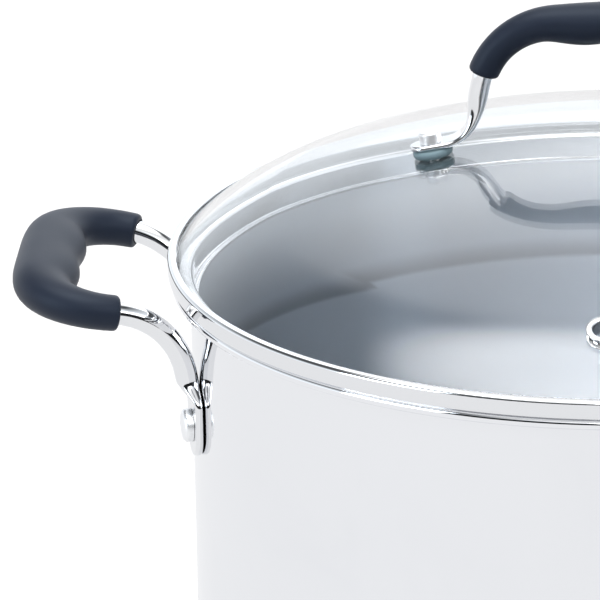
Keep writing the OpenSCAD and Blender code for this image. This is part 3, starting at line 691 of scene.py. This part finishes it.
def sideHandleLine(s):
    turn, lean = legTurn(s), math.radians(s["bowSlope"])
    slope = math.tan(lean)
    legWay = Vector((math.cos(turn), math.sin(turn), 0))
    bendRun = s["bendRadius"] * (1 - math.sin(lean))
    bendEndZ = s["bendTop"] - s["bendRadius"] * (1 - math.cos(lean))
    bendEndX = (s["legRadius"] + bendRun) * legWay.x
    foot = legWay * s["legRadius"]
    tip = legWay * (s["bowX"] / legWay.x)
    low = foot + Vector((0, 0, s["tabLow"]))
    bend = foot + Vector((0, 0, bendEndZ + slope * (foot.x - bendEndX)))
    bow = tip + Vector((0, 0, bendEndZ + slope * (s["bowX"] - bendEndX)))
    half = [(low, 0), (bend, s["bendRadius"]), (bow, s["bowRadius"])]
    flip = Matrix.Diagonal((1, -1, 1))
    return RodLine(half + [(flip @ p, r) for p, r in reversed(half)]), legWay


# Place and section axes at a run. Where the line is steep it is a leg, else it is the bow.
def sideFrame(line, run, legWay, s):
    way = line.way(run)
    if abs(way.z) > s["legSteep"]:
        leg = legWay if run < line.length / 2 else Vector((-legWay.x, legWay.y, 0))
        side = Vector((0, 0, 1)).cross(leg)
    else:
        lean = math.radians(s["bowSlope"])
        side = Vector((-math.sin(lean), 0, math.cos(lean))).cross(way)
    side = (side - side.dot(way) * way).normalized()
    return line.place(run), side, way.cross(side)


def makeSideHandle(s):
    line, legWay = sideHandleLine(s)
    half, pressEnd = s["tabWidth"] / 2, s["pressLow"] - s["tabLow"] + s["pressLong"]
    runs = [share * half for share in tabShares]
    runs += evenRuns(half, pressEnd, s["pressSpacing"]) + evenRuns(pressEnd, line.length / 2, s["spacing"])
    rings = []
    for run in runs + [line.length - r for r in reversed(runs)]:
        place, side, up = sideFrame(line, run, legWay, s)
        flat = 1 - ease(place.z, s["pressLow"], s["pressLow"] + s["pressLong"])
        wide = tabHalf(min(run, line.length - run), half)
        rod = s["rod"] / 2 * (1 - flat)
        high = s["tabThick"] / 2 * flat + rod
        # The tab is pressed against the wall, so the inner side of the rod runs straight on
        rings.append((place + up * (s["rod"] / 2 - high), side, up, wide * flat + rod, high))
    return bridgeRings("rightHandle", rings)


def makeSideGrip(s, h):
    line, legWay = sideHandleLine(h)
    # The grip starts at a distance seen from above, so the run is found on the line
    startRadius = h["legRadius"] + s["start"]
    start = next(r for r, p in zip(line.runs, line.path) if math.hypot(p.x, p.y) > startRadius)
    half = line.length / 2 - start
    sections = []
    for run in gripRuns(s, line, start):
        place, side, up = sideFrame(line, run, legWay, h)
        gone = max(0, min(run, line.length - run) - start)
        swell = ease(gone, 0, s["fullAt"] * half)
        end = gripEndHalf(s, gone)
        wave = s["wave"] * swell * (1 - bump(half - gone, s["waveGap"] / 2, s["waveGap"] / 2))
        wide = end + (s["midWidth"] / 2 - end) * swell - wave / 2
        high = end + (s["midHeight"] / 2 - end) * swell
        sections.append((place, side, up, wide, high, side * wave / 2))
    return bridgeGrip("rightGrip", sections, s)


rightHandle = makeSideHandle(sideHandle)
rightGrip = makeSideGrip(sideGrip, sideHandle)
leftHandle = copyPiece(rightHandle, "leftHandle", halfTurn)
leftGrip = copyPiece(rightGrip, "leftGrip", halfTurn)
for side, handle, grip in (("left", leftHandle, leftGrip), ("right", rightHandle, rightGrip)):
    settle(handle, side + "_handle", "pot", "handle_steel", rodSteel)
    settle(grip, side + "_grip", "pot", "grip_silicone", gripSilicone)
print("side handles and grips done")


# Rivets

rivet = {
    "wallOut": 150.8, "height": 239.5, "shank": 5, "head": 11.6, "headHigh": 3.4, "headAt": 3,
    "headEdge": 1.7, "crown": 0.15, "tail": 9.6, "tailHigh": 1.2, "tailAt": -0.98, "tailEdge": 0.35,
    "tailFlat": 5.6, "steps": 40,
}


# One rivet is spun about its own axis, with the outside of the wall at zero, and copied to its four places
def makeRivets(s):
    head, edge, top = s["head"] / 2, s["headEdge"], s["headAt"] + s["headHigh"] - s["crown"]
    crownRadius = ((head - edge) ** 2 + s["crown"] ** 2) / (2 * s["crown"])
    start = math.degrees(math.asin((head - edge) / crownRadius))
    tail, low, tailEdge = s["tail"] / 2, s["tailAt"] - s["tailHigh"], s["tailEdge"]
    shank = s["shank"] / 2
    points = [(0, low), (s["tailFlat"] / 2, low)]
    points += arcPoints((tail - tailEdge, low + tailEdge), tailEdge, -90, 0, 4)
    points += [(tail, s["tailAt"]), (shank, s["tailAt"]), (shank, s["headAt"]), (head, s["headAt"])]
    points += arcPoints((head - edge, top - edge), edge, 0, 90 - start, 8)
    points += arcPoints((0, top + s["crown"] - crownRadius), crownRadius, 90 - start, 90, 5)[1:]
    first = spinOutline("rivet", points, s["steps"])
    onWall = Matrix.Translation((s["wallOut"] * mm, 0, s["height"] * mm))
    outward = onWall @ Matrix.Rotation(math.pi / 2, 4, "Y")
    turn = legTurn(sideHandle)
    places = (
        ("left", "front", math.pi + turn), ("left", "rear", math.pi - turn),
        ("right", "front", -turn), ("right", "rear", turn),
    )
    for side, end, around in places:
        place = Matrix.Rotation(around, 4, "Z") @ outward
        piece = copyPiece(first, side + end.title() + "Rivet", place)
        settle(piece, side + "_" + end + "_rivet", "pot", "handle_steel", softSteel)
    bpy.data.objects.remove(first)


makeRivets(rivet)
print("rivets done")


# Lid ring, which stands on the rim and reaches a little past it, and the glass that it holds

lidRing = {
    "past": 1, "lift": 0.3, "height": 6.5, "sheet": 0.6, "lip": 3, "corner": 1, "skirtCorner": 1.5,
    "skirtRadius": 148.9, "skirtDrop": 9, "hem": 0.8, "hemTurn": 200, "steps": 256,
}


# Outside radius, low edge and high edge of the ring
def ringEdges(s):
    curl = rimMiddles(potShell)[1]
    rimRadius = curl[0] + potShell["curlRadius"] + potShell["wall"] / 2
    low = potShell["rimTop"] + s["lift"]
    return rimRadius + s["past"], low, low + s["height"]


def makeLidRing(s):
    half = s["sheet"] / 2
    radius, lowEdge, highEdge = ringEdges(s)
    band, low, high = radius - half, lowEdge + half, highEdge - half
    lipEnd, bandTop, bandLow = (radius - s["lip"], high), (band, high), (band, low)
    skirtTop, skirtEnd = (s["skirtRadius"], low), (s["skirtRadius"], lowEdge - s["skirtDrop"])
    points = [lipEnd] + cornerPoints(lipEnd, bandTop, bandLow, s["corner"], 8)
    points += cornerPoints(bandTop, bandLow, skirtTop, s["corner"], 8)
    points += cornerPoints(bandLow, skirtTop, skirtEnd, s["skirtCorner"], 8)
    points += arcPoints((skirtEnd[0] - s["hem"], skirtEnd[1]), s["hem"], 0, -s["hemTurn"], 12)
    piece = spinOutline("lidRing", points, s["steps"], s["sheet"])
    settle(piece, "lid_ring", "lid", "ring_steel", ringSteel)


lidGlass = {
    "crownRadius": 386.644, "crownMiddle": -55.844, "crownTurn": 18.684, "shoulderRadius": 90,
    "footSlope": 42, "thick": 4, "seat": 0.15, "edge": 1.15, "steps": 224,
}
lidScrews = {"across": 65.5, "hole": 5.6, "around": {"left": 180, "right": 0}}
lidVent = {"across": 131, "hole": 9.5, "around": -92.7}
holeCutter = {"sides": 48, "depth": 24}


# The shoulder runs on from the crown
def shoulderMiddle(s):
    turn = math.radians(s["crownTurn"])
    reach = s["crownRadius"] - s["shoulderRadius"]
    return reach * math.sin(turn), s["crownMiddle"] + reach * math.cos(turn)


# A place on the outside of the glass, with its z axis square to the glass
def domePlace(across, around, s=lidGlass):
    middle, radius = (0, s["crownMiddle"]), s["crownRadius"]
    if across > radius * math.sin(math.radians(s["crownTurn"])):
        middle, radius = shoulderMiddle(s), s["shoulderRadius"]
    lean = math.asin((across - middle[0]) / radius)
    height = middle[1] + radius * math.cos(lean)
    turned = Matrix.Rotation(math.radians(around), 4, "Z")
    return turned @ Matrix.Translation((across * mm, 0, height * mm)) @ Matrix.Rotation(lean, 4, "Y")


def cutHole(piece, diameter, place):
    startPiece()
    bpy.ops.mesh.primitive_cylinder_add(
        vertices=holeCutter["sides"], radius=diameter / 2 * mm, depth=holeCutter["depth"] * mm)
    cutter = bpy.context.object
    cutter.matrix_world = place
    applyModifier(piece, "BOOLEAN", operation="DIFFERENCE", object=cutter, solver="EXACT")
    bpy.data.objects.remove(cutter)


def makeLidGlass(s):
    crown, shoulder = (0, s["crownMiddle"]), shoulderMiddle(s)
    crownRadius, shoulderRadius = s["crownRadius"], s["shoulderRadius"]
    radius, lowEdge, highEdge = ringEdges(lidRing)
    inset = lidRing["sheet"] + s["seat"]
    flange, flangeLow, flangeTop = radius - inset, lowEdge + inset, highEdge - inset
    join, foot = 90 - s["crownTurn"], 90 - s["footSlope"]
    insideFoot = math.degrees(math.asin((flangeLow - shoulder[1]) / (shoulderRadius - s["thick"])))
    points = arcPoints(crown, crownRadius, 90, join, 20)
    points += arcPoints(shoulder, shoulderRadius, join, foot, 14)[1:]
    top, low, under = (flange, flangeTop), (flange, flangeLow), (0, flangeLow)
    points += cornerPoints(points[-1], top, low, s["edge"], 6)
    points += cornerPoints(top, low, under, s["edge"], 6)
    points += arcPoints(shoulder, shoulderRadius - s["thick"], insideFoot, join, 14)
    points += arcPoints(crown, crownRadius - s["thick"], join, 90, 20)[1:]
    piece = spinOutline("lidGlass", points, s["steps"])
    for around in lidScrews["around"].values():
        cutHole(piece, lidScrews["hole"], domePlace(lidScrews["across"], around))
    cutHole(piece, lidVent["hole"], domePlace(lidVent["across"], lidVent["around"]))
    settle(piece, "lid_glass", "lid", "lid_glass", clearGlass)


makeLidRing(lidRing)
makeLidGlass(lidGlass)
print("lid ring and glass done")


# Lid handle, whose feet lie along the dome over the screws

lidHandle = {
    "footMiddle": 4, "footEnd": 7.5, "legGap": 106, "legTop": (45, 372.6), "footRadius": 12, "bowRadius": 26,
    "rod": 7, "footWidth": 10, "footThick": 2, "pressDrop": 0.4, "pressShare": 1.35, "spacing": 2.5,
}
lidGrip = {
    "start": 3.3, "endWidth": 11, "midHeight": 15.8, "midWidth": 17, "endRound": 1.5,
    "wave": 1.8, "waveGap": 31, "bore": 7.7, "spacing": 3,
}


# Tip of the foot, corner between foot and leg, and corner between leg and bow, on the right
def lidHandleCorners(s):
    place = domePlace(lidScrews["across"], 0)
    out = place.to_3x3() @ Vector((1, 0, 0))
    middle = place @ Vector((0, 0, s["footMiddle"] * mm)) / mm
    legFoot = middle + out * (s["legGap"] / 2 - middle.x) / out.x
    return middle + out * s["footEnd"], legFoot, Vector((s["legTop"][0], 0, s["legTop"][1]))


def lidHandleLine(s):
    tip, legFoot, legTop = lidHandleCorners(s)
    half = [(tip, 0), (legFoot, s["footRadius"]), (legTop, s["bowRadius"])]
    return RodLine(half + [(Vector((-p.x, 0, p.z)), r) for p, r in reversed(half)])


def lidFrame(line, run):
    way = line.way(run)
    return line.place(run), Vector((0, -1, 0)), Vector((way.z, 0, -way.x))


def makeLidHandle(s):
    line = lidHandleLine(s)
    half = s["footWidth"] / 2
    ends = [share * half for share in tabShares]
    inner = evenRuns(half, line.length - half, s["spacing"]) + [line.length - half]
    pressLow = lidHandleCorners(s)[1].z - s["pressDrop"]
    rings = []
    for run in ends + inner + [line.length - e for e in reversed(ends)]:
        place, side, up = lidFrame(line, run)
        flat = 1 - ease(place.z, pressLow, pressLow + s["pressShare"] * s["footRadius"])
        wide = tabHalf(min(run, line.length - run), half)
        rod = s["rod"] / 2 * (1 - flat)
        rings.append((place, side, up, wide * flat + rod, s["footThick"] / 2 * flat + rod))
    piece = bridgeRings("lidHandle", rings)
    settle(piece, "lid_handle", "lid", "handle_steel", rodSteel)


def makeLidGrip(s, h):
    line = lidHandleLine(h)
    # The grip starts a little way into the upper bend
    legFoot, legTop = lidHandleCorners(h)[1:]
    down, across = (legFoot - legTop).normalized(), Vector((-1, 0, 0))
    bendStart = legTop + down * h["bowRadius"] / math.tan(down.angle(across) / 2)
    nearest = min(range(len(line.path)), key=lambda i: (line.path[i] - bendStart).length)
    start = line.runs[nearest] + s["start"]
    far = line.place(start).x
    sections = []
    for run in gripRuns(s, line, start):
        place, side, up = lidFrame(line, run)
        swell = ease(far - abs(place.x), 0, far)
        end = gripEndHalf(s, max(0, min(run, line.length - run) - start))
        wave = s["wave"] * swell * (1 - bump(abs(place.x), s["waveGap"] / 2, s["waveGap"] / 2))
        wide = end + (s["midWidth"] / 2 - end) * swell
        high = end + (s["midHeight"] / 2 - end) * swell - wave / 2
        sections.append((place, side, up, wide, high, up * wave / 2))
    piece = bridgeGrip("lidGrip", sections, s)
    settle(piece, "lid_grip", "lid", "grip_silicone", gripSilicone)


makeLidHandle(lidHandle)
makeLidGrip(lidGrip, lidHandle)
print("lid handle and grip done")


# Small lid fittings, spun about their own axis with the top of the glass at zero

upperSeal = {"width": 14, "height": 3, "hole": 5.2, "round": 1.4, "steps": 48}
capNut = {
    "width": 7.8, "low": 5, "height": 4, "round": 0.8, "chamfer": 0.3, "crown": 0.02, "crownWidth": 3,
    "steps": 48,
}
ventGrommet = {
    "flange": 12, "tube": 9.2, "hole": 7.6, "sheet": 0.8, "top": 0.1, "low": -4.31, "edge": 0.5, "steps": 48,
}


def makeUpperSeal(s):
    hole, out, bend = s["hole"] / 2, s["width"] / 2, s["round"]
    points = [(hole, 0)]
    points += arcPoints((out - bend, bend), bend, -90, 0, 5)
    points += arcPoints((out - bend, s["height"] - bend), bend, 0, 90, 5)
    points += [(hole, s["height"]), (hole, 0)]
    return spinOutline("seal", points, s["steps"])


def makeCapNut(s):
    out, low, top, bend = s["width"] / 2, s["low"], s["low"] + s["height"], s["round"]
    points = [(0, low), (out - s["chamfer"], low), (out, low + s["chamfer"])]
    points += arcPoints((out - bend, top - bend), bend, 0, 90, 6)
    points += [(s["crownWidth"] / 2, top + s["crown"]), (0, top + s["crown"])]
    return spinOutline("nut", points, s["steps"])


def makeVentGrommet(s):
    hole, tube, flange, half = s["hole"] / 2, s["tube"] / 2, s["flange"] / 2, s["sheet"] / 2
    topMiddle, lowMiddle, edge = s["top"] + half, s["low"] - half, s["edge"]
    points = [(tube, s["top"])]
    points += arcPoints((flange - half, topMiddle), half, -90, 90, 6)
    points += arcPoints((hole + edge, topMiddle + half - edge), edge, 90, 180, 4)
    points += arcPoints((hole + edge, lowMiddle - half + edge), edge, 180, 270, 4)
    points += arcPoints((flange - half, lowMiddle), half, -90, 90, 6)
    points += [(tube, s["low"]), (tube, s["top"])]
    piece = spinOutline("ventGrommet", points, s["steps"])
    applyPlace(piece, domePlace(lidVent["across"], lidVent["around"]))
    settle(piece, "vent_grommet", "lid", "ring_steel", ringSteel)


seal = makeUpperSeal(upperSeal)
nut = makeCapNut(capNut)
for side, around in lidScrews["around"].items():
    place = domePlace(lidScrews["across"], around)
    piece = copyPiece(seal, side + "UpperSeal", place)
    settle(piece, side + "_upper_seal", "lid", "seal_rubber", sealRubber)
    piece = copyPiece(nut, side + "CapNut", place)
    settle(piece, side + "_cap_nut", "lid", "handle_steel", softSteel)
for first in (seal, nut):
    bpy.data.objects.remove(first)
makeVentGrommet(ventGrommet)
print("lid fittings done")


# CAD pieces that stay as they are

cadFinishes = {
    "base_core": castAluminium,
    "rack_frame": wireSteel, "left_rack_bail": wireSteel, "right_rack_bail": wireSteel,
    "left_lower_seal": sealRubber, "right_lower_seal": sealRubber,
    "left_screw_washer": rodSteel, "right_screw_washer": rodSteel,
    "left_lid_screw": rodSteel, "right_lid_screw": rodSteel,
}
for name, finish in cadFinishes.items():
    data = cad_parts[name].data
    data.materials.clear()
    data.materials.append(finish)
print("kept CAD pieces painted")


# Studio

studioFloor = {
    "size": 30, "tone": (0.66, 0.645, 0.635), "markSize": 1.2, "markCover": 0.5, "markShade": 0.99,
    "rough": 0.9, "shine": 0.1, "cameraLift": 0.1, "mirrorShare": 0.88, "mirrorTone": (0.915, 0.922, 0.935),
    "backTone": (1, 1, 1.01), "backFrom": 0.7, "backFull": 1,
}


# The floor takes the shadow. Camera and transmission rays see it lifted to white, and glossy rays see an
# even pale sheet, so that bright steel shows the background too.
def makeFloor(s):
    startPiece()
    bpy.ops.mesh.primitive_plane_add(size=s["size"])
    floor = bpy.context.object
    floor.name = floor.data.name = "studioFloor"
    finish, tree, shader = newFinish("floorPaint")
    link = tree.links.new
    marks = useEffect(tree, "handMarks", Size=s["markSize"], Cover=s["markCover"])
    marked = tuple(s["markShade"] * c for c in s["tone"])
    link(mixColours(tree, marks.outputs["Mask"], s["tone"], marked), shader.inputs["Base Color"])
    shader.inputs["Roughness"].default_value = s["rough"]
    shader.inputs["Specular IOR Level"].default_value = s["shine"]
    path = addNode(tree, "ShaderNodeLightPath")
    direct = addNode(tree, "ShaderNodeMath", operation="MAXIMUM")
    lift = addNode(tree, "ShaderNodeMath", {1: s["cameraLift"]}, operation="MULTIPLY")
    share = addNode(tree, "ShaderNodeMath", {1: s["mirrorShare"]}, operation="MULTIPLY")
    glow = addNode(tree, "ShaderNodeEmission")
    coords = addNode(tree, "ShaderNodeTexCoord")
    axes = addNode(tree, "ShaderNodeSeparateXYZ")
    behind = addNode(
        tree, "ShaderNodeMapRange", {"From Min": s["backFrom"], "From Max": s["backFull"]},
        interpolation_type="SMOOTHSTEP")
    sheet = addNode(tree, "ShaderNodeEmission")
    total = addNode(tree, "ShaderNodeAddShader")
    choice = addNode(tree, "ShaderNodeMixShader")
    link(coords.outputs["Object"], axes.inputs[0])
    link(axes.outputs["Y"], behind.inputs["Value"])
    sheetTone = mixColours(tree, behind.outputs["Result"], s["mirrorTone"], s["backTone"])
    link(sheetTone, sheet.inputs["Color"])
    joinNodes(
        tree,
        (path, "Is Camera Ray", direct, 0),
        (path, "Is Transmission Ray", direct, 1),
        (direct, 0, lift, 0),
        (lift, 0, glow, "Strength"),
        (path, "Is Glossy Ray", share, 0),
        (shader, 0, total, 0),
        (glow, 0, total, 1),
        (share, 0, choice, 0),
        (total, 0, choice, 1),
        (sheet, 0, choice, 2),
    )
    link(choice.outputs[0], tree.nodes["Material Output"].inputs["Surface"])
    floor.data.materials.append(finish)


# Levels of the sky by height, and panels as (aim, edge, full, level), where edge and full are dot
# products with the aim
studioRoom = {
    "sky": [(0.25, 1.3), (0.48, 1.05), (0.65, 0.55), (0.77, 0.1)], "tone": (0.9, 0.95, 1), "tilt": 0.27,
    "panels": [
        ((-0.14, 0, 0.99), 0.86, 0.992, 5.5),
        ((0.16, 0.73, 0.664), 0.85, 0.95, 0.95),
        ((0, -0.5, 0.866), 0.82, 0.95, 0.9),
    ],
    "darkTop": 0.44, "darkFade": 0.08, "darkFrom": -0.35, "darkFull": -0.62, "darkLevel": 0.02,
}


# A pale room, brightest low down and dim higher up. Soft panels of light hang overhead, behind the pot and
# above the camera's side, and a dark stretch low on the camera's side gives bright rods a dark streak.
# Camera rays see plain white.
def makeWorld(s):
    world = bpy.data.worlds.new("studioRoom")
    world.use_nodes = True
    tree = world.node_tree
    link = tree.links.new
    darkTone = (*(s["darkLevel"] * c for c in s["tone"]), 1)
    coords = addNode(tree, "ShaderNodeTexCoord")
    axes = addNode(tree, "ShaderNodeSeparateXYZ")
    path = addNode(tree, "ShaderNodeLightPath")
    tilt = addNode(tree, "ShaderNodeMath", {1: -s["tilt"]}, operation="MULTIPLY")
    height = addNode(tree, "ShaderNodeMath", operation="ADD")
    sky = addNode(tree, "ShaderNodeValToRGB")
    front = addNode(
        tree, "ShaderNodeMapRange", {"From Min": s["darkFrom"], "From Max": s["darkFull"]},
        interpolation_type="SMOOTHSTEP")
    low = addNode(
        tree, "ShaderNodeMapRange", {"From Min": s["darkTop"] + s["darkFade"], "From Max": s["darkTop"]},
        interpolation_type="SMOOTHSTEP")
    dark = addNode(tree, "ShaderNodeMath", operation="MULTIPLY")
    room = addNode(tree, "ShaderNodeMix", {mixSecond: darkTone}, data_type="RGBA")
    paint = addNode(tree, "ShaderNodeMix", {mixSecond: (1, 1, 1, 1)}, data_type="RGBA")
    ramp = sky.color_ramp
    while len(ramp.elements) < len(s["sky"]):
        ramp.elements.new(0.5)
    for stop, (place, level) in zip(ramp.elements, s["sky"]):
        stop.position = place
        stop.color = (*(level * c for c in s["tone"]), 1)
    joinNodes(
        tree,
        (coords, "Generated", axes, 0),
        (axes, "X", tilt, 0),
        (axes, "Z", height, 0),
        (tilt, 0, height, 1),
        (height, 0, sky, 0),
        (axes, "Y", front, "Value"),
        (axes, "Z", low, "Value"),
        (front, "Result", dark, 0),
        (low, "Result", dark, 1),
        (dark, 0, room, 0),
    )
    light = sky.outputs[0]
    for aim, edge, full, level in s["panels"]:
        toward = addNode(tree, "ShaderNodeVectorMath", {1: aim}, operation="DOT_PRODUCT")
        panel = addNode(
            tree, "ShaderNodeMapRange", {"From Min": edge, "From Max": full, "To Max": level},
            interpolation_type="SMOOTHSTEP")
        lit = addNode(tree, "ShaderNodeVectorMath", operation="ADD")
        link(coords.outputs["Generated"], toward.inputs[0])
        link(toward.outputs["Value"], panel.inputs["Value"])
        link(light, lit.inputs[0])
        link(panel.outputs["Result"], lit.inputs[1])
        light = lit.outputs[0]
    link(light, room.inputs[mixFirst])
    link(path.outputs["Is Camera Ray"], paint.inputs[0])
    link(room.outputs[mixResult], paint.inputs[mixFirst])
    link(paint.outputs[mixResult], tree.nodes["Background"].inputs["Color"])
    bpy.context.scene.world = world


# Name, place, size, power and tone of each soft box, all aimed at one point
softBoxes = [
    ("keyBox", (-2.0, -1.3, 1.0), (1.2, 1.2), 20, (0.85, 0.93, 1)),
    ("frontBox", (0.6, -2.3, 1.85), (1.9, 0.8), 12, (1, 1, 1)),
    ("rightBox", (2.0, -1.7, 1.8), (1.6, 0.9), 8, (0.98, 0.99, 1)),
]
boxAim = Vector((0, 0, 0.25))


def makeLights():
    for name, place, size, power, tone in softBoxes:
        startPiece()
        bpy.ops.object.light_add(type="AREA", location=place)
        box = bpy.context.object
        box.name = name
        box.data.shape = "RECTANGLE"
        box.data.size, box.data.size_y = size
        box.data.energy = power
        box.data.color = tone
        box.rotation_euler = (boxAim - Vector(place)).to_track_quat("-Z", "Y").to_euler()


# Fitted to the photo, with its angles in degrees
photoCamera = {
    "lens": 356.56, "sensor": 36, "clipEnd": 100, "eye": (0.00017, -1.9585, 0.96095),
    "yaw": -3.3022, "pitch": 19.3495, "roll": -1.0576,
}


def makeCamera(s):
    yaw, pitch, roll = (math.radians(s[k]) for k in ("yaw", "pitch", "roll"))
    ahead = Vector((math.sin(yaw) * math.cos(pitch), math.cos(yaw) * math.cos(pitch), -math.sin(pitch)))
    right = Vector((math.cos(yaw), -math.sin(yaw), 0))
    up = right.cross(ahead)
    turnedRight = right * math.cos(roll) + up * math.sin(roll)
    turnedUp = up * math.cos(roll) - right * math.sin(roll)
    startPiece()
    bpy.ops.object.camera_add(location=s["eye"])
    camera = bpy.context.object
    camera.name = "photoCamera"
    camera.rotation_euler = Matrix((turnedRight, turnedUp, -ahead)).transposed().to_euler()
    camera.data.lens = s["lens"]
    camera.data.sensor_width = s["sensor"]
    camera.data.clip_end = s["clipEnd"]
    bpy.context.scene.camera = camera


makeFloor(studioFloor)
makeWorld(studioRoom)
makeLights()
makeCamera(photoCamera)
bpy.context.scene.view_settings.view_transform = "Standard"
startPiece()
print("studio done")
